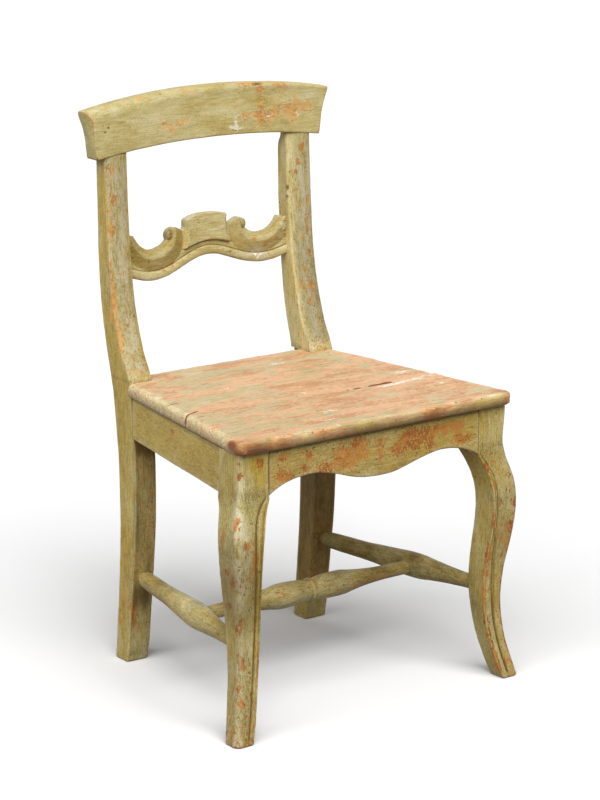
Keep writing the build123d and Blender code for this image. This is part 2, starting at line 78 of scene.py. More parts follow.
def spline(knots: Sequence[tuple[float, float]]) -> Curve:
    """Smooth curve through knots, straight in curvature at both ends.

    Args:
        knots: Pairs of place and value, with rising places.

    Returns:
        A function that gives the value at any place between the first knot and the last.
    """
    place, value = np.array(knots, float).T
    gap = np.diff(place)
    slope = np.diff(value) / gap
    system = np.eye(len(place))
    right = np.zeros(len(place))
    for i in range(1, len(place) - 1):
        system[i, i - 1 : i + 2] = gap[i - 1], 2 * (gap[i - 1] + gap[i]), gap[i]
        right[i] = 6 * (slope[i] - slope[i - 1])
    bend = np.linalg.solve(system, right)

    def at(where: np.ndarray) -> np.ndarray:
        """Value of the curve at each place.

        Args:
            where: Places along the curve.

        Returns:
            The values.
        """
        where = np.clip(np.asarray(where, float), place[0], place[-1])
        i = np.clip(np.searchsorted(place, where) - 1, 0, len(gap) - 1)
        ahead, behind = place[i + 1] - where, where - place[i]
        bent = bend[i] * ahead**3 + bend[i + 1] * behind**3
        level = (value[i] / gap[i] - bend[i] * gap[i] / 6) * ahead
        rise = (value[i + 1] / gap[i] - bend[i + 1] * gap[i] / 6) * behind
        return bent / (6 * gap[i]) + level + rise

    return at


def ease(low: float, high: float, value: np.ndarray) -> np.ndarray:
    """0 below low, 1 above high and a soft slope between; low may be the larger one."""
    share = np.clip((np.asarray(value, float) - low) / (high - low), 0, 1)
    return share * share * (3 - 2 * share)


def band(start: float, full: float, fade: float, end: float, value: np.ndarray) -> np.ndarray:
    """Soft band that rises from start to full and falls from fade to end."""
    return ease(start, full, value) * ease(end, fade, value)


def bell(away: np.ndarray, width: float | np.ndarray) -> np.ndarray:
    """1 at no distance, falling off like a bell of a width."""
    return np.exp(-((away / width) ** 2))


def lattice_noise(points: np.ndarray, size: float | Sequence[float], seed: int) -> np.ndarray:
    """Smooth random field.

    Args:
        points: Places in millimetres, one row each.
        size: Distance over which the field changes, one for all axes or one for each.
        seed: Picks one field out of many.

    Returns:
        A value between -1 and 1 for each point.
    """
    scaled = points / np.asarray(size, float)
    cell = np.floor(scaled).astype(np.int64)
    share = ease(0, 1, scaled - cell)
    total = np.zeros(len(points))
    for corner in range(8):
        step = np.array([corner & 1, corner >> 1 & 1, corner >> 2])
        x, y, z = (cell + step).T
        mixed = (x * 73856093) ^ (y * 19349663) ^ (z * 83492791) ^ (seed * 2654435761)
        mixed = ((mixed & 0xFFFFFFFF) * 2246822519) & 0xFFFFFFFF
        mixed = ((mixed ^ (mixed >> 13)) * 3266489917) & 0xFFFFFFFF
        weight = np.prod(np.where(step == 1, share, 1 - share), axis=1)
        total += weight * ((mixed ^ (mixed >> 16)) / 0x7FFFFFFF - 1)
    return total


def nearest_on_path(points: np.ndarray, path: np.ndarray) -> tuple[np.ndarray, np.ndarray]:
    """Where an open path of straight steps comes nearest to each point.

    Args:
        points: Points in a plane.
        path: Corners of the path in order.

    Returns:
        The nearest points of the path, and how far away they are.
    """
    best = np.full(len(points), np.inf)
    found = points.copy()
    for start, step in zip(path[:-1], np.diff(path, axis=0)):
        along = np.clip((points - start) @ step / (step @ step), 0, 1)
        foot = start + along[:, None] * step
        away = np.hypot(*(points - foot).T)
        nearer = away < best
        best[nearer] = away[nearer]
        found[nearer] = foot[nearer]
    return found, best


def distance_to_path(points: np.ndarray, path: np.ndarray) -> np.ndarray:
    """Shortest distance from each point to an open path of straight steps."""
    return nearest_on_path(points, path)[1]


def smooth_path(knots: Knots, count: int) -> np.ndarray:
    """Points along a smooth line through knots in a plane.

    Args:
        knots: The knots in order.
        count: Number of points wanted.

    Returns:
        The points, (count, 2).
    """
    points = np.array(knots, float)
    run = np.concatenate([[0], np.cumsum(np.hypot(*np.diff(points, axis=0).T))])
    places = np.linspace(0, run[-1], count)
    return np.stack([spline(list(zip(run, points[:, axis])))(places) for axis in (0, 1)], axis=1)


def inside(points: np.ndarray, outline: np.ndarray) -> np.ndarray:
    """Whether each point lies inside a closed outline.

    Args:
        points: Points in a plane.
        outline: Corners of the outline in order.

    Returns:
        True or False for each point.
    """
    hit = np.zeros(len(points), bool)
    x, z = points.T
    for (x0, z0), (x1, z1) in zip(outline, np.roll(outline, -1, axis=0)):
        if z0 != z1:
            crosses = (z0 > z) != (z1 > z)
            hit ^= crosses & (x < (x1 - x0) * (z - z0) / (z1 - z0) + x0)
    return hit


# --- skins
@dataclass(frozen=True)
class Spot:
    """A place on the chair where a mark is strong: its centre, reach and strength."""

    x: float
    y: float
    z: float
    reach: float
    strength: float = 1.0
    stretch: tuple[float, float, float] = (1.0, 1.0, 1.0)

    def weight(self, points: np.ndarray) -> np.ndarray:
        """Strength of the spot at each point."""
        away = (points - (self.x, self.y, self.z)) / (self.reach * np.array(self.stretch))
        return self.strength * np.exp(-((away**2).sum(axis=1)))


def spots(*rows: tuple[float, ...]) -> list[Spot]:
    """Spots on an upright face.

    Args:
        rows: x, y, z, reach and strength of each, then its width and height if it isn't round.

    Returns:
        The spots.
    """
    return [Spot(*row[:5], (row[5], 1.0, row[6])) if row[5:] else Spot(*row) for row in rows]


@dataclass
class Skin:
    """A closed surface under construction, in millimetres, with named marks at its points."""

    points: np.ndarray
    faces: list[np.ndarray]
    marks: dict[str, np.ndarray] = field(default_factory=dict)

    def __post_init__(self) -> None:
        """Turns the faces outwards, so that wear and unevenness find the right side."""
        self.face_outwards()

    def normals(self) -> np.ndarray:
        """Direction outwards at each point, weighted by the faces round it.

        Returns:
            One direction for each point.
        """
        total = np.zeros_like(self.points)
        for block in self.faces:
            corners = self.points[block]
            turned = np.cross(corners[:, 2] - corners[:, 0], corners[:, -1] - corners[:, 1])
            for k in range(block.shape[1]):
                for axis in range(3):
                    total[:, axis] += np.bincount(block[:, k], turned[:, axis], minlength=len(total))
        length = np.linalg.norm(total, axis=1, keepdims=True)
        return total / np.maximum(length, 1e-9)

    def face_outwards(self) -> None:
        """Turns all faces round if the skin encloses a negative volume."""
        volume = 0.0
        for block in self.faces:
            for k in range(1, block.shape[1] - 1):
                a, b, c = (self.points[block[:, i]] for i in (0, k, k + 1))
                volume += float((a * np.cross(b, c)).sum())
        if volume < 0:
            self.faces = [block[:, ::-1] for block in self.faces]

    def bulge(self, rounds: int) -> np.ndarray:
        """How far each point stands proud of its smoothed surroundings.

        Args:
            rounds: How often the surroundings are smoothed.

        Returns:
            One distance in millimetres for each point.
        """
        pairs = [
            np.stack([block[:, k], block[:, (k + 1) % block.shape[1]]])
            for block in self.faces
            for k in range(block.shape[1])
        ]
        start, end = np.concatenate(pairs, axis=1)
        here, there = np.concatenate([start, end]), np.concatenate([end, start])
        length = np.linalg.norm(self.points[here] - self.points[there], axis=1)
        pull = 1 / (length + 0.05)
        total = np.bincount(here, pull, minlength=len(self.points))
        smooth = self.points
        for _ in range(rounds):
            pulled = [np.bincount(here, pull * axis[there], minlength=len(total)) for axis in smooth.T]
            smooth = (smooth + np.stack(pulled, axis=1) / total[:, None]) / 2
        return ((self.points - smooth) * self.normals()).sum(axis=1)

    def roughen(self, depth: float, size: float | Sequence[float], seed: int) -> "Skin":
        """Makes the surface uneven, as hand tools and age leave it.

        Args:
            depth: Largest depth.
            size: Size of the waves, or their sizes along x, y and z.
            seed: Seed of the noise.

        Returns:
            The same skin.
        """
        noise = lattice_noise(self.points, size, seed)
        self.points = self.points + self.normals() * (depth * noise)[:, None]
        return self

    def add(self, **marks: np.ndarray | float) -> "Skin":
        """Adds values to the named marks.

        Args:
            marks: How much of each mark, by its name.

        Returns:
            The same skin.
        """
        for name, values in marks.items():
            self.marks[name] = self.marks.get(name, np.zeros(len(self.points))) + values
        return self

    def calm(self, **marks: np.ndarray | float) -> "Skin":
        """Takes a share off each named mark, such as wear where two pieces meet.

        Args:
            marks: Share to take off each mark, by its name.

        Returns:
            The same skin.
        """
        for name, share in marks.items():
            self.marks[name] = self.marks[name] * (1 - np.clip(share, 0, 1))
        return self

    def spot(self, places: Iterable[Spot], **marks: float) -> "Skin":
        """Adds to the named marks round each spot.

        Args:
            places: The spots.
            marks: How much of the spots' strength goes to each mark.

        Returns:
            The skin itself.
        """
        weight = sum(place.weight(self.points) for place in places)
        return self.add(**{name: share * weight for name, share in marks.items()})

    def mark_wear(self, edge: float = 1.1, hollow: float = 0.8) -> "Skin":
        """Marks arrises as worn and recesses as deep, from the shape itself; the recesses are darkened by
        soiling and painted shade, and broad rises are paled as worn paint and a painted highlight.

        Args:
            edge: Bulge at which an arris counts as fully worn, in millimetres.
            hollow: Depth at which a recess counts as fully darkened, by soiling and painted shade, in
                millimetres.

        Returns:
            The skin itself.
        """
        near = self.bulge(12)
        self.add(worn=np.clip(near / edge, 0, 1), deep=np.clip(-near / hollow, 0, 1))
        return self.add(rubbed=np.clip(self.bulge(60) / (3 * edge), 0, 1))

    def write(self, mesh: bpy.types.Mesh, crease: float = 50.0) -> None:
        """Writes the marks and the shading into the mesh of the skin.

        Args:
            mesh: Mesh with the points of the skin.
            crease: Angle in degrees past which an edge is shaded sharp.
        """
        mesh.shade_smooth()
        mesh.set_sharp_from_angle(angle=math.radians(crease))
        for mark in MARKS:
            values = self.marks.get(mark, np.zeros(len(self.points)))
            layer = mesh.attributes.new(mark, "FLOAT", "POINT")
            layer.data.foreach_set("value", np.clip(values, *MARK_LIMITS).astype(np.float32))

    def piece(self, name: str, finish: Material, crease: float = 50.0) -> bpy.types.Object:
        """Makes the skin a Blender object with its place in its mesh.

        Args:
            name: Name of the piece.
            finish: Material that covers it.
            crease: Angle in degrees past which an edge is shaded sharp.

        Returns:
            The object, at the origin.
        """
        mesh = bpy.data.meshes.new(name)
        loops = [row for block in self.faces for row in block.tolist()]
        mesh.from_pydata((self.points * MM).tolist(), [], loops)
        mesh.validate()
        self.write(mesh, crease)
        mesh.materials.append(finish)
        return in_scene(name, mesh)


def in_scene(name: str, data: bpy.types.ID | None) -> bpy.types.Object:
    """Makes an object of a mesh, a light or a camera and links it to the scene.

    Args:
        name: Name of the object.
        data: What it shows: a mesh, a light or a camera.

    Returns:
        The object.
    """
    made = bpy.data.objects.new(name, data)
    bpy.context.scene.collection.objects.link(made)
    return made


def hand_over(piece: bpy.types.Object, node: str) -> None:
    """Lets a finished piece ride with the root body and stand for its CAD node, which it hides.

    Args:
        piece: The finished piece.
        node: Name of the CAD node that it replaces.
    """
    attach(piece, "root")
    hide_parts(node)
    log.info("%s: %d faces", piece.name, len(piece.data.polygons))


def grid_faces(rows: int, columns: int, closed: bool = False) -> np.ndarray:
    """Quads of a grid of points that is numbered row by row.

    Args:
        rows: Number of rows of points.
        columns: Number of points in a row.
        closed: Whether the last column joins the first.

    Returns:
        One row of four point numbers for each face.
    """
    across = np.arange(columns if closed else columns - 1)
    row = np.arange(rows - 1)[:, None] * columns
    here, beside = row + across, row + (across + 1) % columns
    return np.stack([here, beside, beside + columns, here + columns], axis=-1).reshape(-1, 4)


def loft(*axes: np.ndarray) -> Skin:
    """Skin through closed rings, with smaller rings and a fan over each end.

    Args:
        axes: The x, y and z of the points, each as (ring, point in ring).

    Returns:
        The closed skin.
    """
    rings = np.stack(axes, axis=-1)
    inwards = (0.06, 0.16, 0.32, 0.55, 0.78)
    first = [rings[0] + (rings[0].mean(axis=0) - rings[0]) * share for share in inwards[::-1]]
    last = [rings[-1] + (rings[-1].mean(axis=0) - rings[-1]) * share for share in inwards]
    rings = np.concatenate([first, rings, last])
    count, around, _ = rings.shape
    points = np.vstack([rings.reshape(-1, 3), rings[0].mean(axis=0), rings[-1].mean(axis=0)])
    here = np.arange(around)
    beside = (here + 1) % around
    start = (count - 1) * around
    first_fan = np.stack([np.full(around, count * around), beside, here], axis=-1)
    last_fan = np.stack([np.full(around, count * around + 1), start + here, start + beside], axis=-1)
    return Skin(points, [grid_faces(count, around, closed=True), first_fan, last_fan])


def slab(x: np.ndarray, y: np.ndarray, top: np.ndarray, bottom: np.ndarray, kept: np.ndarray) -> Skin:
    """Solid between two height fields over the kept cells of one grid.

    Args:
        x: First coordinate of the grid points, (row, column).
        y: Second coordinate.
        top: Upper heights.
        bottom: Lower heights.
        kept: Whether each cell belongs to the solid, (row - 1, column - 1).

    Returns:
        The closed skin.
    """
    total = x.size
    cells = grid_faces(*x.shape)[kept.reshape(-1)]
    start = cells.reshape(-1)
    end = np.roll(cells, -1, axis=1).reshape(-1)
    rim = ~np.isin(start * total + end, end * total + start)
    a, b = start[rim], end[rim]
    walls = np.stack([b, a, a + total, b + total], axis=-1)
    faces = np.concatenate([cells, cells[:, ::-1] + total, walls])
    used, numbers = np.unique(faces, return_inverse=True)
    upper, lower = (np.stack([x, y, height], axis=-1).reshape(-1, 3) for height in (top, bottom))
    return Skin(np.vstack([upper, lower])[used], [numbers.reshape(faces.shape)])


def sections(
    places: np.ndarray,
    low: tuple[np.ndarray | float, np.ndarray | float],
    high: tuple[np.ndarray | float, np.ndarray | float],
    radii: np.ndarray | Sequence[float],
    sides: Sequence[np.ndarray],
    arc_steps: int = 6,
) -> tuple[np.ndarray, np.ndarray, np.ndarray]:
    """Rectangles with rounded corners across a member, one for each place along it.

    Args:
        places: Places along the member.
        low: Low limits of the two directions across it.
        high: High limits of the two directions.
        radii: Corner radii, in the order low-low, high-low, high-high, low-high.
        sides: Shares of the straight part of each side, in the order in which the corners
            follow each other, as (share,) or (place, share).
        arc_steps: Steps in each corner.

    Returns:
        Place along the member and the two directions across it, each as (place, point).
    """
    count = len(places)
    low, high = ([np.broadcast_to(limit, count) for limit in limits] for limits in (low, high))
    radii = np.broadcast_to(radii, (count, 4))
    corner_u = (low[0], high[0], high[0], low[0])
    corner_v = (low[1], low[1], high[1], high[1])
    inward = ((1, 1), (-1, 1), (-1, -1), (1, -1))
    turn = np.linspace(0, math.pi / 2, arc_steps + 1)
    arcs = []
    for k in range(4):
        radius = radii[:, k]
        centre_u = corner_u[k] + inward[k][0] * radius
        centre_v = corner_v[k] + inward[k][1] * radius
        angle = math.pi + k * math.pi / 2 + turn
        u = centre_u[:, None] + radius[:, None] * np.cos(angle)
        v = centre_v[:, None] + radius[:, None] * np.sin(angle)
        arcs.append(np.stack([u, v], axis=-1))
    parts = []
    for k in range(4):
        share = np.broadcast_to(sides[k], (count, np.shape(sides[k])[-1]))[..., None]
        start, end = arcs[k][:, -1:], arcs[(k + 1) % 4][:, :1]
        parts += [arcs[k], start + (end - start) * share]
    u, v = np.moveaxis(np.concatenate(parts, axis=1), -1, 0)
    return np.broadcast_to(places[:, None], u.shape), u, v


def shares(*counts: int) -> list[np.ndarray]:
    """Evenly spaced shares between 0 and 1, without the ends, for each count."""
    return [np.linspace(0, 1, count + 2)[1:-1] for count in counts]


def stations(start: float, end: float, step: float, fine: float = 0.0) -> np.ndarray:
    """Places along a member, packed closer at both ends where its arrises are rounded.

    Args:
        start: First place.
        end: Last place.
        step: Greatest distance between two places.
        fine: Length at each end over which the places are packed.

    Returns:
        Rising or falling places from start to end.
    """
    length = abs(end - start)
    packed = fine * (1 - np.cos(np.linspace(0, math.pi / 2, 6))[::-1]) if fine else np.zeros(1)
    middle = np.linspace(fine, length - fine, max(2, round((length - 2 * fine) / step) + 1))
    run = np.unique(np.concatenate([packed, middle, length - packed]).round(4))
    return start + math.copysign(1, end - start) * run


def end_round(away: np.ndarray, radius: float | np.ndarray) -> np.ndarray:
    """How far a section draws in at a distance from a rounded end."""
    short = np.clip(radius - away, 0, radius)
    return radius - np.sqrt(radius**2 - short**2)


# --- materials
class Grain(Enum):
    """The direction in which the fibres of a piece run, as its index among the axes."""

    ACROSS = 0
    BACKWARD = 1
    UPWARD = 2


class Nodes:
    """Short calls that add nodes to one tree."""

    def __init__(self, tree: bpy.types.NodeTree) -> None:
        """Works on a tree of nodes."""
        self.tree = tree

    def node(self, kind: str, inputs: dict | None = None, **settings: object) -> bpy.types.Node:
        """Adds a node.

        Args:
            kind: Type of the node.
            inputs: Sockets by name or number, each a value or an output to link.
            settings: Properties of the node.

        Returns:
            The node.
        """
        made = self.tree.nodes.new(kind)
        for key, value in settings.items():
            setattr(made, key, value)
        for key, value in (inputs or {}).items():
            if isinstance(value, Socket):
                self.tree.links.new(value, made.inputs[key])
            else:
                made.inputs[key].default_value = value
        return made

    def math(self, operation: str, *values: object, clamp: bool = False) -> Socket:
        """Output of one arithmetic step on values or outputs."""
        inputs = dict(enumerate(values))
        return self.node("ShaderNodeMath", inputs, operation=operation, use_clamp=clamp).outputs[0]

    def times(self, value: object, factor: object, plus: object | None = None, clamp: bool = False) -> Socket:
        """Output of a value times a factor, plus a third one if it is given.

        Args:
            value: First value.
            factor: Second value.
            plus: Value added to the product.
            clamp: Keeps the result from 0 to 1.

        Returns:
            The result as an output.
        """
        if plus is None:
            return self.math("MULTIPLY", value, factor, clamp=clamp)
        return self.math("MULTIPLY_ADD", value, factor, plus, clamp=clamp)

    def seen_by_camera(self) -> Socket:
        """1 where the camera looks straight, by a mirror or through glass, and 0 for other light.

        Returns:
            The output.
        """
        path = self.node("ShaderNodeLightPath").outputs
        seen = self.math("MAXIMUM", path["Is Camera Ray"], path["Is Glossy Ray"])
        return self.math("MAXIMUM", seen, path["Is Transmission Ray"])


class FinishNodes(Nodes):
    """Short calls that add nodes to the material of one finish."""

    def __init__(self, name: str, grain: Grain = Grain.ACROSS) -> None:
        """Starts an empty material.

        Args:
            name: Name of the material.
            grain: Direction of the fibres and of the brush marks.
        """
        self.material = bpy.data.materials.new(name)
        self.material.use_nodes = True
        super().__init__(self.material.node_tree)
        self.tree.nodes.clear()
        self.grain = grain

    def mark(self, name: str) -> Socket:
        """Output of a named mark of the mesh."""
        made = self.node("ShaderNodeAttribute", attribute_name=name, attribute_type="GEOMETRY")
        return made.outputs["Fac"]

    def step(self, value: object, low: float, high: float) -> Socket:
        """Soft step of a value from 0 at low to 1 at high."""
        inputs = {"Value": value, "From Min": low, "From Max": high}
        return self.node("ShaderNodeMapRange", inputs, interpolation_type="SMOOTHSTEP").outputs["Result"]

    def place(self, stretch: float, shift: float = 0.0) -> Socket:
        """Object coordinates, drawn out along the grain.

        Args:
            stretch: How many times longer a pattern is along the fibres.
            shift: Distance in metres that sets one pattern apart from another.

        Returns:
            The coordinates as an output.
        """
        scale = [1.0, 1.0, 1.0]
        scale[self.grain.value] = 1 / stretch
        there = self.node("ShaderNodeTexCoord").outputs["Object"]
        inputs = {"Vector": there, "Scale": scale, "Location": (shift, shift, shift)}
        return self.node("ShaderNodeMapping", inputs).outputs["Vector"]

    def noise(
        self, size: float, stretch: float, shift: float = 0.0, detail: float = 3.0, rough: float = 0.55
    ) -> Socket:
        """Cloudy noise, drawn out along the grain.

        Args:
            size: Size of its features in millimetres.
            stretch: How many times longer they are along the fibres.
            shift: Distance in metres that sets one pattern apart from another.
            detail: Number of finer layers.
            rough: Strength of the finer layers.

        Returns:
            The noise as an output.
        """
        where = self.place(stretch, shift)
        inputs = {"Vector": where, "Scale": 1000 / size, "Detail": detail, "Roughness": rough}
        return self.node("ShaderNodeTexNoise", inputs).outputs["Fac"]

    def blend(self, share: object, first: object, second: object, kind: str = "MIX") -> Socket:
        """Colour that goes from the first to the second with the share.

        Args:
            share: 0 for the first colour, 1 for the second.
            first: A colour or an output.
            second: A colour or an output.
            kind: Way of mixing.

        Returns:
            The colour as an output.
        """
        first, second = ((*c, 1.0) if isinstance(c, tuple) else c for c in (first, second))
        inputs = {0: share, 6: first, 7: second}
        made = self.node("ShaderNodeMix", inputs, data_type="RGBA", blend_type=kind, clamp_factor=True)
        return made.outputs[2]

    def ramp(self, value: Socket, stops: Sequence[tuple[float, Colour]]) -> Socket:
        """Colour of a value between coloured stops.

        Args:
            value: The value as an output.
            stops: Places of the stops and their colours.

        Returns:
            The colour as an output.
        """
        made = self.node("ShaderNodeValToRGB", {"Fac": value})
        band_of = made.color_ramp.elements
        while len(band_of) < len(stops):
            band_of.new(0.5)
        for element, (position, colour) in zip(band_of, stops):
            element.position = position
            element.color = (*colour, 1.0)
        return made.outputs["Color"]

    def vector(self, operation: str, inputs: dict) -> Socket:
        """Output of one arithmetic step on vectors or colours."""
        return self.node("ShaderNodeVectorMath", inputs, operation=operation).outputs[0]

    def finish(self, colour: Socket, roughness: object, height: Socket, gloss: float) -> Material:
        """Closes the material with one surface shader.

        Args:
            colour: Base colour.
            roughness: Roughness.
            height: Relief in millimetres.
            gloss: Level of the mirrored light.

        Returns:
            The material.
        """
        bump = self.node("ShaderNodeBump", {"Height": height, "Distance": MM, "Strength": 1.0})
        inputs = {"Base Color": colour, "Roughness": roughness, "Normal": bump.outputs[0]}
        shader = self.node("ShaderNodeBsdfPrincipled", inputs)
        shader.inputs["Specular IOR Level"].default_value = gloss
        self.node("ShaderNodeOutputMaterial", {"Surface": shader.outputs[0]})
        return self.material


@dataclass(frozen=True)
class WornPaint:
    """Old matt paint over an orange-brown ground, worn through at arrises and in flakes."""

    name: str = "painted_wood"
    pale: Colour = (0.71, 0.65, 0.43)
    light: Colour = (0.61, 0.53, 0.26)
    middle: Colour = (0.50, 0.41, 0.155)
    dark: Colour = (0.29, 0.22, 0.06)
    amber: Colour = (0.90, 0.74, 0.34)
    # Pale colour of rubbed paint, also used as a painted highlight.
    rubbed: Colour = (0.68, 0.64, 0.51)
    glaze: Colour = (0.15, 0.09, 0.018)
    ground: Colour = (0.73, 0.41, 0.13)
    ground_dark: Colour = (0.53, 0.225, 0.055)
    primer: Colour = (0.74, 0.55, 0.27)
    chalk: Colour = (0.94, 0.88, 0.74)
    pit: Colour = (0.07, 0.04, 0.016)
    flake_size: float = 5.5
    flake_level: float = 0.69
    flake_edge: float = 0.035
    flake_stretch: float = 1.4
    speck_level: float = 0.665
    bare_weight: float = 0.2
    thinning: float = 0.3
    grain_contrast: float = 0.72
    grain_lines: float = 0.5
    hole_spacing: float = 9.0
    dash_spacing: float = 5.0
    gloss: float = 0.22

    def paint(self, nodes: FinishNodes) -> tuple[Socket, Socket]:
        """Sound paint, mottled by age and brush marks.

        Args:
            nodes: The material.

        Returns:
            Its colour, and its tone from 0 dark to 1 pale.
        """
        cloud = nodes.noise(10, 2.4, 0.15, 6, 0.7)
        contrast = self.grain_contrast
        tone = nodes.times(nodes.noise(70, 1.8), 0.8, 0.105 - 0.5 * (0.7 + 2.1 * contrast))
        tone = nodes.times(cloud, 0.7, tone)
        tone = nodes.times(nodes.noise(1.9, 11, 0.3, 4, 0.75), 1.2 * contrast, tone)
        tone = nodes.times(nodes.noise(1.7, 1.6, 0.55, 2, 0.6), 0.9 * contrast, tone)
        # The shade mark moves the tone: painted shade below 0 and painted light above 0, besides real tone.
        tone = nodes.times(nodes.mark("shade"), 0.2, tone)
        stops = [(0.12, self.dark), (0.40, self.middle), (0.62, self.light), (0.88, self.pale)]
        colour = nodes.ramp(tone, stops)
        warmth = nodes.math("SUBTRACT", nodes.mark("amber"), 1.12)
        warmth = nodes.times(nodes.noise(30, 2.6, 0.6, 4, 0.6), 2.4, warmth)
        warmth = nodes.math("MAXIMUM", nodes.math("MINIMUM", warmth, 1.25), 0.0)
        colour = nodes.blend(warmth, colour, self.amber, "MULTIPLY")
        # Paler on broad rises and marked spots: rubbed paint and a painted highlight.
        high = nodes.times(nodes.mark("rubbed"), nodes.step(cloud, 0.38, 0.58))
        return nodes.blend(nodes.times(high, 0.85), colour, self.rubbed), tone

    def flakes(self, nodes: FinishNodes) -> tuple[Socket, Socket]:
        """Places where the paint has come off, at marked arrises and spots and here and there.

        Args:
            nodes: The material.

        Returns:
            1 where the ground shows, and 1 in a wider area in which the paint thins out.
        """
        bare = nodes.math("MINIMUM", nodes.mark("bare"), 1.3)
        patch = nodes.noise(self.flake_size, self.flake_stretch, 0.7, 3, 0.62)
        reach = nodes.step(nodes.noise(30, 2, 0.35), 0.42, 0.60)
        edge = nodes.times(nodes.step(nodes.mark("worn"), 0.5, 0.95), reach)
        value = nodes.times(edge, 0.19, nodes.times(bare, self.bare_weight, patch))
        flake = nodes.step(value, self.flake_level, self.flake_level + self.flake_edge)
        thin = nodes.step(value, self.flake_level - 0.08, self.flake_level + 0.02)
        speck = nodes.times(bare, 0.10, nodes.noise(2.8, 1.4, 0.9, 3, 0.65))
        speck = nodes.step(nodes.times(edge, 0.05, speck), self.speck_level, self.speck_level + 0.04)
        return nodes.math("MAXIMUM", flake, nodes.times(speck, 0.85)), thin

    def pits(self, nodes: FinishNodes, size: float, stretch: float) -> Socket:
        """Scattered small holes, or dashes where they are drawn out along the grain.

        Args:
            nodes: The material.
            size: Distance between holes in millimetres.
            stretch: How many times longer than wide a hole is.

        Returns:
            1 in a hole and 0 outside.
        """
        bend = nodes.times(nodes.noise(2.0, stretch, 1.3, 2), 0.0016)
        where = nodes.vector("ADD", {0: nodes.place(stretch, 1.3), 1: bend})
        inputs = {"Vector": where, "Scale": 1000 / size, "Randomness": 1.0}
        hole = nodes.node("ShaderNodeTexVoronoi", inputs).outputs
        draws = nodes.node("ShaderNodeSeparateColor", {"Color": hole["Color"]}).outputs
        chosen = nodes.math("GREATER_THAN", draws[0], nodes.times(nodes.mark("spotted"), -0.5, 0.8))
        near = nodes.math("LESS_THAN", hole["Distance"], nodes.times(draws[1], 0.12, 0.05))
        return nodes.times(chosen, near)

    def bare_ground(self, nodes: FinishNodes) -> Socket:
        """Colour of the old ground under the paint.

        Args:
            nodes: The material.

        Returns:
            The colour as an output.
        """
        mottle = nodes.times(nodes.noise(3.6, 2.5, 0.5, 4, 0.7), 0.7)
        mottle = nodes.times(nodes.noise(24, 4, 1.7, 3, 0.6), 0.8, mottle)
        ground = nodes.blend(nodes.step(mottle, 0.68, 0.84), self.ground, self.ground_dark)
        stained = nodes.times(nodes.mark("amber"), 0.45, clamp=True)
        return nodes.blend(stained, ground, self.amber, "MULTIPLY")

    def material(self, grain: Grain) -> Material:
        """The finish on wood whose fibres run in a direction.

        Args:
            grain: Direction of the fibres and of the brush marks.

        Returns:
            The material.
        """
        nodes = FinishNodes(f"{self.name}_{grain.name.lower()}", grain)
        paint, tone = self.paint(nodes)
        flake, thin = self.flakes(nodes)
        paint = nodes.blend(nodes.times(thin, self.thinning), paint, self.primer)
        colour = nodes.blend(nodes.times(flake, 0.94), paint, self.bare_ground(nodes))
        lines = nodes.step(nodes.noise(1.5, 24, 0.8, 2, 0.6), 0.42, 0.31)
        colour = nodes.blend(nodes.times(lines, self.grain_lines), colour, self.glaze)
        # The shade mark also scales the colour, ground and all: painted shade below 0 and painted light above
        # 0, and the darker tone of knots and worn tips.
        strength = nodes.math("MAXIMUM", nodes.times(nodes.mark("shade"), 0.55, 1.0), 0.15)
        colour = nodes.vector("SCALE", {0: colour, "Scale": strength})
        chalky = nodes.times(nodes.mark("scuffed"), 0.27, nodes.noise(4, 2, 0.1, 4, 0.65))
        colour = nodes.blend(nodes.times(nodes.step(chalky, 0.68, 0.76), 0.75), colour, self.chalk)
        # The deep mark glazes the colour dark: dirt and dark joints, and painted shade in recesses, under the
        # seat and under overhangs.
        deep = nodes.mark("deep")
        dirt_and_shade = nodes.times(deep, 0.45, nodes.times(deep, nodes.noise(6, 3, 0.2)))
        colour = nodes.blend(nodes.times(nodes.step(dirt_and_shade, 0.12, 0.9), 0.9), colour, self.glaze)
        holes = self.pits(nodes, self.hole_spacing, 1.3)
        dashes = self.pits(nodes, self.dash_spacing, 3)
        colour = nodes.blend(nodes.times(dashes, 0.5), colour, self.pit)
        colour = nodes.blend(nodes.times(holes, 0.65), colour, self.pit)
        height = nodes.times(holes, -0.5, nodes.times(flake, -0.25))
        height = nodes.times(dashes, -0.2, height)
        height = nodes.times(nodes.noise(2.0, 12, 0.4, 3, 0.6), 0.35, height)
        return nodes.finish(colour, nodes.times(tone, 0.22, 0.42, clamp=True), height, self.gloss)


@dataclass(frozen=True)
class RawWood:
    """Bare, aged softwood with straight grain."""

    name: str = "bare_wood"
    early: Colour = (0.46, 0.31, 0.17)
    late: Colour = (0.22, 0.12, 0.055)
    roughness: float = 0.75
    gloss: float = 0.3

    def material(self, grain: Grain) -> Material:
        """The finish on wood whose fibres run in a direction.

        Args:
            grain: Direction of the fibres.

        Returns:
            The material.
        """
        nodes = FinishNodes(f"{self.name}_{grain.name.lower()}", grain)
        fibres = nodes.noise(0.8, 30, 0.5, 2)
        tone = nodes.times(fibres, 0.4, nodes.noise(4, 20, 0.2, 4, 0.6))
        colour = nodes.ramp(tone, [(0.5, self.early), (0.9, self.late)])
        return nodes.finish(colour, self.roughness, nodes.times(fibres, 0.1), self.gloss)


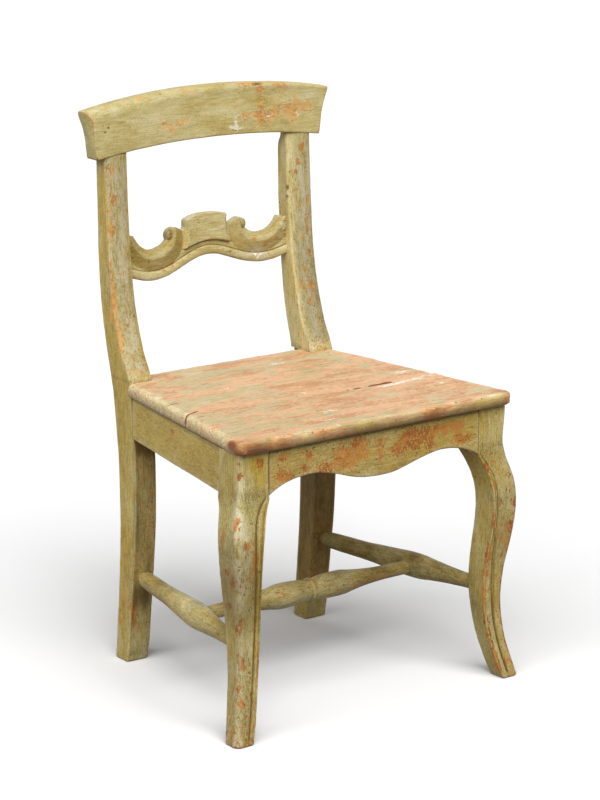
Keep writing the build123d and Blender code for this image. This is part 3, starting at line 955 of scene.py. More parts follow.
# --- shared measures
LEFT, RIGHT = -1, 1
SIDE_NAMES = {LEFT: "left", RIGHT: "right"}
SEAT_TOP = node_box("seat_front_board")[1][2]
FRAME_TOP = node_box("front_apron")[1][2]
FRAME_BOTTOM = node_box("rear_seat_rail")[0][2]
TOE_X = node_box("right_front_leg")[1][0]
FRONT_LINE = node_box("right_front_leg")[0][1]
BACK_LINE = node_box("crest_rail")[1][1]
POST_INNER = node_box("right_back_post")[0][0]
POST_OUTER = node_box("right_back_post")[1][0]
BLOCK_INNER = TOE_X - 71.5
BLOCK_OUTER = TOE_X - 20.5
BLOCK_FRONT = FRONT_LINE + 20.5
BLOCK_BACK = FRONT_LINE + 71.5
POST_FACE_LOW = BACK_LINE - 93.2
POST_FACE_SEAT = BACK_LINE - 86.0


# --- front legs
@dataclass
class FrontLegs:
    """Two sawn cabriole legs with a bead worked down the inner edge of the front face."""

    knee_outer: float = 370.0
    knee_inner: float = 358.0
    outer_shares: tuple[float, ...] = (0, 0.162, 0.338, 0.5, 0.649, 0.762, 0.87, 0.932, 1)
    outer_inward: tuple[float, ...] = (0, 13.9, 20.2, 16.0, 8.1, 5.2, 9.4, 16.0, 20.5)
    inner_shares: tuple[float, ...] = (0, 0.168, 0.349, 0.517, 0.67, 0.8, 0.91, 1)
    inner_inward: tuple[float, ...] = (31.0, 46.4, 54.9, 54.6, 50.8, 50.8, 58.0, 71.5)
    quirk: float = 3.4
    groove_depth: float = 2.4
    groove_width: dict[int, float] = field(default_factory=lambda: {LEFT: 2.6, RIGHT: 1.7})
    foot_round: float = 3.0
    ring_step: float = 2.6
    left_groove: Knots = (
        (0, 8.5), (90, 8.8), (180, 9.2), (277, 11.5), (310, 14.0), (330, 14.6), (345, 12.6), (358, 8.0),
        (368, 1.5),
    )
    right_groove: Knots = (
        (0, 13.0), (80, 15.5), (140, 16.0), (190, 12.0), (225, 8.6), (290, 7.0), (330, 7.5), (350, 5.0),
        (368, 2.0),
    )
    left_spare: Knots = ((0, 0.4), (240, 1.0), (320, 1.6), (370, 0.3), (433, 0))
    right_spare: Knots = (
        (0, 1.2), (90, 1.3), (150, 2.2), (210, 2.4), (270, 1.3), (320, 0.4), (370, 0.2), (433, 0)
    )

    def outer(self, z: np.ndarray) -> np.ndarray:
        """How far the outer face stands in from the toe at a height."""
        places = np.array(self.outer_shares) * self.knee_outer
        return spline(list(zip(places, self.outer_inward)))(z)

    def inner(self, z: np.ndarray) -> np.ndarray:
        """How far the inner face stands in from the toe at a height."""
        places = np.array(self.inner_shares) * self.knee_inner
        return spline(list(zip(places, self.inner_inward)))(z)

    def groove_line(self, z: np.ndarray, side: int) -> np.ndarray:
        """Distance of the groove from the inner arris at a height."""
        return spline(self.left_groove if side == LEFT else self.right_groove)(z)

    def worked_face(self, across: np.ndarray, z: np.ndarray, side: int) -> np.ndarray:
        """Moulding of the front face: a bead between a fine line and a groove.

        Args:
            across: Distance from the inner arris.
            z: Height.
            side: LEFT or RIGHT.

        Returns:
            How far the face stands proud of the flat.
        """
        groove = self.groove_line(z, side)
        softened = 0.5 * ease(215, 260, z) * (side == RIGHT)
        cut = -self.groove_depth * (1 - softened) * bell(across - groove, self.groove_width[side])
        bead_share = np.clip((across - self.quirk) / np.maximum(groove - self.quirk, 1), 0, 1)
        bead = np.sin(math.pi * bead_share) - 0.6 * ease(groove + 2, groove, across)
        line = -0.6 * bell(across - self.quirk, 0.8)
        strip = 0.6 * ease(self.quirk + 0.4, self.quirk - 0.6, across)
        return band(2, 12, 352, 370, z) * (cut + bead + line + strip)

    def skin(self, side: int) -> Skin:
        """Shape of one leg.

        Args:
            side: LEFT or RIGHT.

        Returns:
            The skin of the leg, in place.
        """
        z = stations(0, FRAME_TOP, self.ring_step, fine=self.foot_round * 1.2)
        drawn_in = end_round(z, self.foot_round)
        spare = spline(self.left_spare if side == LEFT else self.right_spare)(z) * ease(0, 20, z)
        inner, outer = self.inner(z) - drawn_in + spare, self.outer(z) + drawn_in - 0.5 * spare
        low, high = TOE_X - inner, TOE_X - outer
        front, back = FRONT_LINE + outer, FRONT_LINE + inner
        worn = ease(425, 380, z)
        free = ease(372, 345, z)
        radii = np.stack([1.6 + 0.6 * worn, 3 + 6 * worn, 0.8 + 3.7 * free, 1.5 + 1.5 * worn], axis=1)
        width = high - low - radii[:, 0] - radii[:, 1]
        worked = np.minimum(26, 0.8 * width)[:, None]
        coarse, *plain = shares(8, 16, 16, 16)
        coarse = worked + (width[:, None] - worked) * coarse
        face = np.concatenate([worked * np.linspace(0.01, 1, 60), coarse], axis=1) / width[:, None]
        height, x, y = sections(z, (low, front), (high, back), radii, [face, *plain])
        on_face = ease(6, 2.5, y - front[:, None])
        depth = self.worked_face(x - low[:, None], height, side) * on_face
        shape = loft(side * x, y - depth, height)
        shape.roughen(0.45, (14, 14, 45), 11 + side).roughen(0.22, (5, 5, 9), 21 + side)
        return shape.mark_wear(edge=0.9, hollow=0.5)

    def dress(self, shape: Skin, side: int) -> Skin:
        """Adds the marks of wear that both legs have, with painted shadow under the seat, and then those of
        one leg.

        Args:
            shape: Skin of the leg.
            side: LEFT or RIGHT.

        Returns:
            The same skin.
        """
        x, y, z = shape.points.T
        foot = ease(46, 8, z)
        across = np.abs(x) - TOE_X + self.inner(np.minimum(z, self.knee_inner))
        outer = self.outer(np.minimum(z, self.knee_outer))
        on_front = ease(7, 3, y - FRONT_LINE - outer)
        in_groove = bell(across - self.groove_line(z, side) - 0.4, 2.6 if side == LEFT else 1.8)
        in_groove *= on_front * ease(366, 350, z) * (1 - 0.7 * ease(215, 260, z) * (side == RIGHT))
        at_joint = ease(421, 425, z) + ease(12, 4, BLOCK_BACK + 1 - y) * (z > 365)
        shape.calm(worn=at_joint, deep=ease(366, 372, z), rubbed=0.6)
        # The top of the block is glazed dark where the seat overhangs it: painted shadow.
        shape.add(
            bare=0.2 * foot + 0.5 * ease(5, 0, z),
            deep=0.4 * in_groove + 0.25 * ease(12, 0, FRAME_TOP - z),
            shade=0.12 * lattice_noise(shape.points, (20, 20, 46), 91) - 0.4 - 0.1 * foot - 0.3 * in_groove,
            amber=0.15 + 0.35 * ease(340, 400, z) + 0.5 * in_groove,
            spotted=0.35 + 0.4 * foot,
        )
        if side == LEFT:
            return self.dress_left(shape, across, on_front)
        return self.dress_right(shape, across, on_front, TOE_X - outer - np.abs(x))

    def dress_left(self, shape: Skin, across: np.ndarray, on_front: np.ndarray) -> Skin:
        """Adds the wear and the painted highlights of the left leg.

        Args:
            shape: Skin of the leg.
            across: Distance of each point from the inner arris.
            on_front: How far each point belongs to the front face.

        Returns:
            The same skin.
        """
        x, y, z = shape.points.T
        corner = bell(np.hypot(x + 246, y + 220), 13)
        block = ease(366, 380, z)
        knee = -0.16 * band(220, 260, 350, 366, z) + 0.3 * band(285, 315, 350, 368, z)
        shin = -0.2 * ease(150, 110, z) - 0.2 * band(150, 190, 240, 270, z)
        warm = 0.6 * ease(12, 3, across) * on_front * ease(380, 350, z) + 0.25 * band(100, 150, 300, 330, z)
        shape.calm(worn=corner).add(
            amber=warm - 0.8 * corner * ease(200, 260, z) - 0.5 * ease(140, 100, z),
            spotted=0.6 * corner,
            scuffed=0.3 * corner * ease(330, 380, z),
            shade=0.3 * ease(230, 120, z) - 0.12 * corner + (0.4 + 0.3 * corner) * block + knee + shin,
            bare=0.3 * ease(320, 280, z) + 0.25 * ease(150, 100, z) + 0.35 * corner * ease(200, 240, z),
        )
        # Painted highlights down the rounded outer-front corner: paler and lighter.
        pale = spots(
            (-251, -218, 352, 12, 0.35, 1, 2.4), (-246, -224, 305, 10, 0.4, 1, 3),
            (-246, -218, 240, 10, 0.5, 1, 3),
        )
        scuffs = spots((-251, -218, 356, 9, 0.45, 1, 2.2), (-248, -222, 316, 7, 0.4, 1, 2))
        stains = spots((-218, -213, 414, 10, 1.2), (-208, -213, 398, 9, 0.9, 1, 2))
        flakes = spots(
            (-248, -212, 417, 4.8, 2.45), (-252, -208, 414, 4.3, 2.16, 1, 0.7), (-246, -212, 398, 5.1, 2.59),
            (-249, -212, 404, 3.6, 1.73), (-208, -213, 412, 6.1, 1.73, 1, 1.5), (-249, -214, 381, 3.6, 1.73),
            (-252, -218, 337, 4.1, 2.02, 1, 1.6), (-255, -216, 331, 3.9, 2.02, 1, 2.4),
            (-251, -222, 311, 4.8, 2.16, 1, 1.6), (-242, -226, 298, 4.8, 2.74),
            (-228, -227, 284, 4.4, 2.59, 1, 2.2), (-225, -227, 268, 4.8, 2.3, 1, 1.6),
            (-256, -205, 261, 5.6, 2.88), (-254, -216, 256, 4.4, 2.16), (-238, -227, 254, 3.9, 2.59),
            (-256, -214, 248, 4.8, 2.59), (-247, -222, 247, 3.6, 1.87), (-255, -213, 239, 3.6, 1.87),
            (-257, -194, 296, 3.9, 2.02, 1, 3), (-256, -193, 314, 3.6, 2.02, 1, 2),
            (-254, -180, 302, 4.8, 1.87, 1, 4), (-252, -200, 205, 6.1, 1.73),
            (-210, -214, 113, 3.6, 2.02, 1, 8), (-240, -214, 120, 6.1, 1.73), (-248, -212, 82, 4.8, 1.87),
            (-245, -220, 60, 4.8, 1.87), (-238, -222, 152, 4.8, 1.44, 1, 3),
            (-245, -213, 176, 4.8, 1.44, 1, 2),
        )
        shape.spot(pale, rubbed=1, shade=1).spot(scuffs, scuffed=1).spot(stains, amber=1)
        return shape.spot(flakes, bare=1)

    def dress_right(
        self, shape: Skin, across: np.ndarray, on_front: np.ndarray, edge: np.ndarray
    ) -> Skin:
        """Adds the wear of the right leg.

        Args:
            shape: Skin of the leg.
            across: Distance of each point from the inner arris.
            on_front: How far each point belongs to the front face.
            edge: Distance of each point from the outer face.

        Returns:
            The same skin.
        """
        z = shape.points[:, 2]
        arris = ease(7, 2, np.abs(across + 1)) * on_front
        outside = ease(24, 10, edge) * ease(310, 270, z)
        knee = band(290, 320, 350, 372, z)
        chipped = 0.75 * arris * ease(240, 200, z) * (0.55 + 0.45 * ease(120, 170, z))
        chipped += 0.3 * ease(9, 2, edge) * ease(345, 320, z)
        shin = 0.1 * ease(120, 60, z) + 0.2 * band(110, 150, 260, 290, z) + 0.1 * outside
        beside = 0.12 * ease(4, 0, across) + 0.24 * ease(2, 0, across) * ease(250, 290, z)
        thin = 0.25 * knee + 0.25 * ease(150, 110, z) + 0.45 * band(160, 200, 260, 310, z) * on_front
        shape.add(
            bare=chipped + thin + 0.3 * outside,
            shade=shin + beside + 0.4 * ease(368, 378, z),
            amber=0.35 * ease(2, 0, across) + 0.3 * arris + 0.5 * outside + 0.35 * knee,
        )
        flakes = spots(
            (203, -219, 341, 4.2, 1.47), (206, -221, 335, 4.2, 1.26), (217, -218, 344, 4.2, 1.37),
            (212, -213, 358, 7.4, 0.84), (213, -225, 312, 4.2, 1.26, 1, 2.4),
            (244, -225, 322, 4.2, 1.26, 1, 1.6), (237, -227, 300, 5.2, 1.05), (224, -229, 283, 4.7, 1.16),
            (252, -228, 276, 4.2, 1.47), (210, -228, 264, 3.8, 1.58, 1, 2), (216, -227, 252, 3.6, 1.68, 1, 3),
            (209, -226, 246, 4.2, 1.47), (241, -226, 243, 6.3, 1.37, 1.3, 0.7),
            (229, -224, 226, 3.6, 1.68, 1, 2.6), (205, -221, 211, 3.4, 1.78, 1, 2.6),
            (206, -218, 190, 3.4, 1.68, 1, 3), (204, -217, 173, 3.8, 1.68, 1, 2),
            (244, -215, 150, 4.2, 1.26, 1, 4), (208, -215, 134, 3.6, 1.68, 1, 3.6),
            (212, -217, 95, 4.2, 1.16, 1, 4), (216, -219, 70, 4.2, 1.26, 1, 3),
            (224, -224, 42, 4.2, 1.47, 1, 3), (228, -230, 18, 5.2, 1.58, 1, 2),
        )
        cracks = spots((215, -226, 236, 2.6, 0.9, 1, 4), (245, -226, 252, 2, 0.6, 1, 3))
        return shape.spot(cracks, deep=1).spot(flakes, bare=1)

    def build(self, paint: Material) -> None:
        """Builds both legs in a finish.

        Args:
            paint: The finish.
        """
        for side, word in SIDE_NAMES.items():
            piece = self.dress(self.skin(side), side).piece(f"{word}_leg_carved", paint)
            hand_over(piece, f"{word}_front_leg")


# --- back posts
@dataclass
class BackPosts:
    """Two back posts, each one piece with its rear leg."""

    front_shares: tuple[float, ...] = (0, 0.288, 0.533, 0.797, 1)
    front_forward: tuple[float, ...] = (68.4, 80.4, 91.0, 94.8, 93.2)
    upper_front: Knots = (
        (0, 86.0), (14, 80.8), (35, 71.2), (70, 58.3), (110, 47.2), (165, 38.5), (240, 32.8), (349, 27.5)
    )
    rear: Knots = (
        (0, 35.0), (90, 44.8), (180, 50.9), (258, 53.0), (360, 46.6), (420, 38.9),
        (484, 25.2), (545, 13.0), (620, 5.2), (710, 1.2), (799, 0.3),
    )
    top: float = 796.0
    crown: float = 2.0
    foot_round: float = 2.5
    spare_inside: dict[int, float] = field(default_factory=lambda: {LEFT: 2.5, RIGHT: 5.0})

    def front(self, z: np.ndarray) -> np.ndarray:
        """Place of the front face.

        Args:
            z: Height.

        Returns:
            Distance backwards from the chair's middle.
        """
        places = np.array(self.front_shares) * FRAME_BOTTOM
        below = BACK_LINE - spline(list(zip(places, self.front_forward)))(z)
        above = BACK_LINE - spline([(SEAT_TOP + up, y) for up, y in self.upper_front])(z)
        share = np.clip((z - FRAME_BOTTOM) / (SEAT_TOP - FRAME_BOTTOM), 0, 1)
        joint = POST_FACE_LOW + (POST_FACE_SEAT - POST_FACE_LOW) * share
        return np.where(z < FRAME_BOTTOM, below, np.where(z > SEAT_TOP, above, joint))

    def back(self, z: np.ndarray) -> np.ndarray:
        """Place of the rear face at a height."""
        return BACK_LINE - spline(self.rear)(z)

    def skin(self, side: int) -> Skin:
        """Shape of one post.

        Args:
            side: LEFT or RIGHT.

        Returns:
            The skin of the post, in place.
        """
        z = stations(0, self.top, 3.2, fine=self.foot_round * 1.3)
        z = np.sort(np.append(z[np.abs(z - SEAT_TOP + 1.6) > 1], [SEAT_TOP - 1.8, SEAT_TOP - 1.4]))
        drawn_in = end_round(z, self.foot_round)
        open_part = ease(452, 500, z)
        below = ease(370, 330, z) * ease(0, 30, z)
        spare = self.spare_inside[side] * (z > SEAT_TOP - 1.6) + 2.8 * ease(630, 690, z) * (side == RIGHT)
        low = POST_INNER + drawn_in - spare - 1.2 * below
        high = POST_OUTER - drawn_in + 1.4 * ease(640, 560, z) * (side == RIGHT)
        front = self.front(z) + drawn_in - 2.4 * below
        back = self.back(z) - drawn_in + 2.4 * band(450, 500, 620, 690, z)
        rear_arrises = [2.6 + 0 * z, 1.6 + 3 * ease(764, 786, z)]
        radii = np.stack([2 + 1.8 * open_part, 2.2 + 2.6 * open_part, *rear_arrises], axis=1)
        height, x, y = sections(z, (low, front), (high, back), radii, shares(14) * 4)
        middle = (POST_INNER + POST_OUTER) / 2
        near = ease(9, 2, y - front[:, None]) * open_part[:, None]
        y = y + self.crown * ((x - middle) / (POST_OUTER - middle)) ** 2 * near
        rear_inner = ease(14, 0, back[:, None] - y) * ease(26, 0, x - POST_INNER)
        shape = loft(side * x, y - 7 * rear_inner * ease(768, 790, height), height)
        shape.roughen(0.45, (16, 16, 55), 31 + side).roughen(0.2, (5, 5, 10), 41 + side)
        return shape.mark_wear(edge=1.0)

    def dress(self, shape: Skin, side: int) -> Skin:
        """Adds the marks of wear that both posts have, with painted shade under the seat, on the lower fronts
        and under the crest, painted light on the side faces and a painted highlight down the fronts, and then
        those of one post.

        Args:
            shape: Skin of the post.
            side: LEFT or RIGHT.

        Returns:
            The same skin.
        """
        x, y, z = shape.points.T
        off = np.abs(x)
        above = ease(452, 470, z)
        front = ease(5, 2, y - self.front(z))
        face = front * above
        aside = ease(POST_OUTER - 5, POST_OUTER - 1, off) * (1 - 0.5 * front)
        inside_face = ease(POST_INNER + 4, POST_INNER + 1, off)
        foot = ease(482, 456, z) * (z > 449)
        # Below the seat rail the front and inner faces are darker, warmer, barer and glazed: dirt and worn
        # paint, and painted shade under the seat.
        under = ease(384, 372, z) * (1 - aside)
        sheltered = under * ease(10, 60, z) * ease(1, 6, self.back(z) - y)
        patchy = np.clip(lattice_noise(shape.points, (18, 18, 52), 92), 0, 1)
        clouded = np.clip(lattice_noise(shape.points, (14, 14, 40), 94), 0, 1)
        # Per side: extra painted shade low on the front face, then under the seat the painted shade level,
        # warmth, bare wood and a glaze of dirt and shade.
        lower, dark, warm, thin, dirt_and_shade_level = (
            (0.1, -0.12, 0.1, 0.62, 0.16) if side == LEFT else (0.42, -0.35, 1.1, 0.82, 0.5)
        )
        # Painted light on the inner and outer faces above the seat; the front faces get painted shade, more
        # of it lower down.
        side_face_light = (0.3 - 0.14 * ease(640, 520, z)) * inside_face + 0.14 * aside
        shade_and_dirt_under_seat = 0.35 * ease(POST_OUTER - 14, POST_OUTER - 2, off) + 0.4 * ease(300, 372, z)
        uneven = 0.1 * lattice_noise(shape.points, (16, 16, 50), 93)
        # A pale stripe down each front is a painted highlight, and the post tops are glazed dark under the
        # crest as painted shadow.
        shape.calm(rubbed=0.6).add(
            rubbed=0.55 * bell(off - POST_INNER - 17, 9) * face * ease(780, 760, z),
            bare=0.3 * ease(30, 4, z) + 0.4 * foot + 0.12 * face + thin * sheltered,
            scuffed=0.2 * foot * front,
            spotted=1.0 * foot + 0.6 * under,
            amber=0.7 * aside + 0.2 * inside_face + 0.3 * ease(460, 430, z) * (1 - aside) - 0.3 * face
            + warm * sheltered,
            shade=uneven + side_face_light * above - (0.2 + lower * ease(700, 560, z)) * face
            + (dark + 0.25 * clouded) * sheltered,
            deep=(dirt_and_shade_level + 0.9 * patchy + shade_and_dirt_under_seat) * sheltered + 0.5 * ease(5, 0, np.abs(z - 452))
            + 0.8 * ease(9, 0, 793 - z),
        )
        return self.dress_left(shape) if side == LEFT else self.dress_right(shape)

    def dress_left(self, shape: Skin) -> Skin:
        """Adds the wear of the left post: a bare outer arris and a warm inner edge.

        Args:
            shape: Skin of the post.

        Returns:
            The same skin.
        """
        x, y, z = shape.points.T
        off, behind, above = np.abs(x), y - self.front(z), ease(452, 470, z)
        arris = ease(6, 1.5, POST_OUTER - 2 - off) * ease(9, 4, behind)
        hollow = ease(POST_INNER + 9, POST_INNER + 1, off) * ease(5, 2, behind) * above
        shape.add(bare=arris * (0.8 * band(470, 510, 590, 650, z) + 0.35 * above))
        shape.add(amber=0.9 * hollow, shade=-0.15 * hollow)
        flakes = spots(
            (-182, 206, 765, 6.5, 2.25), (-180, 205, 723, 7, 1.38, 1, 2), (-184, 204, 680, 6, 1.12, 1, 3),
            (-188, 196, 552, 5, 1.62, 1, 5), (-172, 184, 530, 6, 1.12, 1, 2), (-170, 166, 480, 6, 1),
            (-168, 154, 462, 6, 1), (-170, 200, 610, 5, 1.25, 1, 3), (-186, 176, 500, 5, 1.38, 1, 4),
            (-175, 206, 640, 6, 1, 1, 2), (-157, 152, 300, 6, 1.88), (-156, 152, 288, 4, 1.88, 1, 2),
            (-171, 152, 206, 5, 1.88, 1, 1.5), (-166, 152, 222, 5, 1.5, 1, 2),
            (-188, 152, 190, 5, 1.25, 1, 4), (-185, 152, 90, 6, 1.5, 1, 3), (-191, 165, 100, 6, 1.62, 1, 3),
            (-191, 185, 60, 6, 1.38), (-186, 152, 60, 5, 1.62, 1, 2), (-188, 156, 20, 6, 1.62),
            (-178, 150, 330, 5, 1.12, 1, 3),
        )
        return shape.spot(flakes, bare=1)

    def dress_right(self, shape: Skin) -> Skin:
        """Adds the wear of the right post.

        Args:
            shape: Skin of the post.

        Returns:
            The same skin.
        """
        flakes = spots(
            (170, 206, 768, 6, 1.8), (164, 206, 745, 5, 1.44, 1, 2), (160, 205, 728, 4, 1.8),
            (181, 203, 682, 4, 1.92, 1, 2.5), (165, 202, 672, 4, 1.56), (179, 202, 655, 5, 1.56, 1, 1.6),
            (178, 200, 634, 5, 1.8, 1, 1.5), (168, 198, 622, 5, 1.44), (178, 196, 600, 6, 1.2),
            (166, 192, 572, 5, 1.68, 1, 2), (174, 184, 548, 6, 1.56, 1, 2), (181, 186, 545, 5, 1.56),
            (172, 178, 528, 5, 1.56, 1, 2), (160, 186, 548, 4, 1.2, 1, 3), (178, 166, 490, 6, 1.08),
            (166, 158, 468, 6, 0.96), (160, 203, 700, 3, 1.68),
        )
        cracks = spots(
            (147, 208, 704, 3, 1.3, 1, 1.6), (147, 208, 690, 3, 1.2, 1, 1.2), (150, 207, 728, 2.6, 1.2)
        )
        return shape.spot(cracks, deep=1).spot(flakes, bare=1)

    def build(self, paint: Material) -> None:
        """Builds both posts in a finish.

        Args:
            paint: The finish.
        """
        for side, word in SIDE_NAMES.items():
            piece = self.dress(self.skin(side), side).piece(f"{word}_post_worn", paint)
            hand_over(piece, f"{word}_back_post")


# --- seat frame
@dataclass
class SeatFrame:
    """The scalloped apron, the two side rails and the rear rail under the seat."""

    apron_drop: Knots = (
        (-1, 69.5), (-0.93, 61.5), (-0.83, 54.0), (-0.69, 49.4), (-0.54, 49.6), (-0.36, 57.6), (-0.18, 68.0),
        (0, 72.2), (0.18, 71.0), (0.32, 64.5), (0.48, 56.6), (0.6, 53.0), (0.72, 53.4), (0.83, 57.4),
        (0.93, 64.5), (1, 72.0),
    )
    thickness: float = 22.0
    rear_rail_back: float = 176.0

    def apron(self) -> Skin:
        """Shape and wear of the front rail, scalloped along its lower edge, with painted shadow under the
        seat's nose.

        Returns:
            The skin of the rail, in place.
        """
        x = stations(-BLOCK_INNER, BLOCK_INNER, 1.8)
        bottom = FRAME_TOP - spline([(share * BLOCK_INNER, drop) for share, drop in self.apron_drop])(x)
        low, high = (BLOCK_FRONT, bottom), (BLOCK_FRONT + self.thickness, FRAME_TOP)
        shape = loft(*sections(x, low, high, (3.0, 2.0, 0.8, 0.8), shares(8, 34, 8, 46)))
        shape.roughen(0.4, (70, 18, 18), 51).roughen(0.2, (12, 5, 5), 52).mark_wear()
        x, _, z = shape.points.T
        to_block, to_top = BLOCK_INNER - np.abs(x), FRAME_TOP - z
        stained = ease(-10, 60, x)
        # The top of the rail is glazed dark under the seat's nose as painted shadow; its ends are dark
        # joints.
        shape.calm(worn=ease(8, 4, to_block)).calm(worn=ease(8, 4, to_top)).add(
            deep=0.9 * ease(3.2, 0.4, to_block) + 0.8 * ease(12, 1, to_top),
            amber=0.55 + 0.5 * stained,
            shade=-0.06 - 0.06 * stained,
            spotted=0.8,
            bare=0.42,
        )
        front = (
            (-168, 415, 9.5, 1.03), (-172, 388, 9.5, 1.22), (-158, 384, 8.4, 1.22), (-122, 410, 9.5, 0.94),
            (-130, 392, 7.4, 0.85), (-90, 386, 10.5, 1.03, 1.8, 1), (-62, 402, 12.6, 1.12, 1.4, 1),
            (-50, 388, 10.5, 1.22, 1.4, 1), (-30, 414, 10.5, 1.22, 1.4, 1), (-24, 396, 9.5, 1.22),
            (8, 404, 9.5, 0.94), (6, 388, 8.4, 0.85), (38, 392, 9.5, 1.4), (52, 402, 12.6, 1.59),
            (66, 412, 10.5, 1.4), (72, 394, 9.5, 1.31), (90, 408, 11.6, 1.31), (100, 392, 8.4, 1.22, 1, 1.4),
            (112, 412, 8.4, 1.12), (128, 408, 8.4, 1.22), (142, 412, 7.4, 1.12),
            (152, 398, 8.4, 1.22, 0.8, 1.5), (160, 412, 6.3, 1.03), (166, 388, 7.4, 1.03, 1.6, 1),
        )
        return shape.spot(spots(*((x, BLOCK_FRONT, *rest) for x, *rest in front)), bare=1)

    def side_rail(self, side: int) -> Skin:
        """Shape and wear of a side rail, flush with the leg and the post, with painted shadow under the
        seat's edge.

        Args:
            side: LEFT or RIGHT.

        Returns:
            The skin of the rail, in place.
        """
        start = np.array([POST_OUTER, POST_FACE_LOW + 1.5])
        end = np.array([BLOCK_OUTER, BLOCK_BACK])
        length = float(np.hypot(*(end - start)))
        ahead = (end - start) / length
        t = stations(0, length, 2.6)
        low, high = (0.0, FRAME_BOTTOM), (self.thickness, FRAME_TOP)
        along, depth, height = sections(t, low, high, (2.6, 1.5, 0.8, 1.0), shares(8, 26, 8, 36))
        x = start[0] + ahead[0] * along + ahead[1] * depth
        y = start[1] + ahead[1] * along - ahead[0] * depth
        shape = loft(side * x, y, height)
        shape.roughen(0.4, (18, 70, 18), 61 + side).roughen(0.2, (5, 12, 5), 63 + side).mark_wear()
        _, y, z = shape.points.T
        to_leg, to_post, to_top = y - BLOCK_BACK, start[1] - y, FRAME_TOP - z
        # The top of the rail is glazed dark under the seat's edge as painted shadow; its ends are dark
        # joints.
        shape.calm(worn=ease(9, 4, to_leg) + ease(9, 4, to_post)).calm(worn=ease(8, 4, to_top)).add(
            deep=0.108 * ease(3.5, 0.4, to_leg) + 0.9 * ease(3.5, 0.4, to_post) + 0.7 * ease(10, 0, to_top),
            shade=0.12,
            amber=1.0,
            spotted=0.3,
        )
        face = side * (BLOCK_OUTER + POST_OUTER) / 2
        flakes = (
            (-6, 414, 7, 1.25), (0, 406, 6, 1.25), (-29, 405, 5, 1.38, 1, 2), (-16, 393, 5, 1.25),
            (-63, 404, 6, 1.25), (-58, 385, 5, 1.25, 1, 2), (-100, 404, 6, 1.12),
        )
        return shape.spot(spots(*((face, *row) for row in flakes)), bare=1)

    def rear_rail(self) -> Skin:
        """Shape and wear of the plain rail between the back posts.

        Returns:
            The skin of the rail, in place.
        """
        x = stations(-POST_INNER, POST_INNER, 3)
        low, high = (self.rear_rail_back - self.thickness, FRAME_BOTTOM), (self.rear_rail_back, FRAME_TOP)
        shape = loft(*sections(x, low, high, (1.5, 2.0, 1.0, 0.8), shares(8, 26) * 2))
        shape.roughen(0.4, (70, 18, 18), 71).roughen(0.2, (12, 5, 5), 72).mark_wear()
        return shape.add(deep=0.9 * ease(4, 0.4, POST_INNER - np.abs(shape.points[:, 0])))

    def build(self, across: Material, backward: Material) -> None:
        """Builds the rails.

        Args:
            across: Finish with its grain across the chair.
            backward: Finish with its grain from front to back.
        """
        hand_over(self.apron().piece("apron_scalloped", across), "front_apron")
        for side, word in SIDE_NAMES.items():
            hand_over(self.side_rail(side).piece(f"{word}_rail_worn", backward), f"{word}_side_rail")
        hand_over(self.rear_rail().piece("rear_rail_worn", across), "rear_seat_rail")


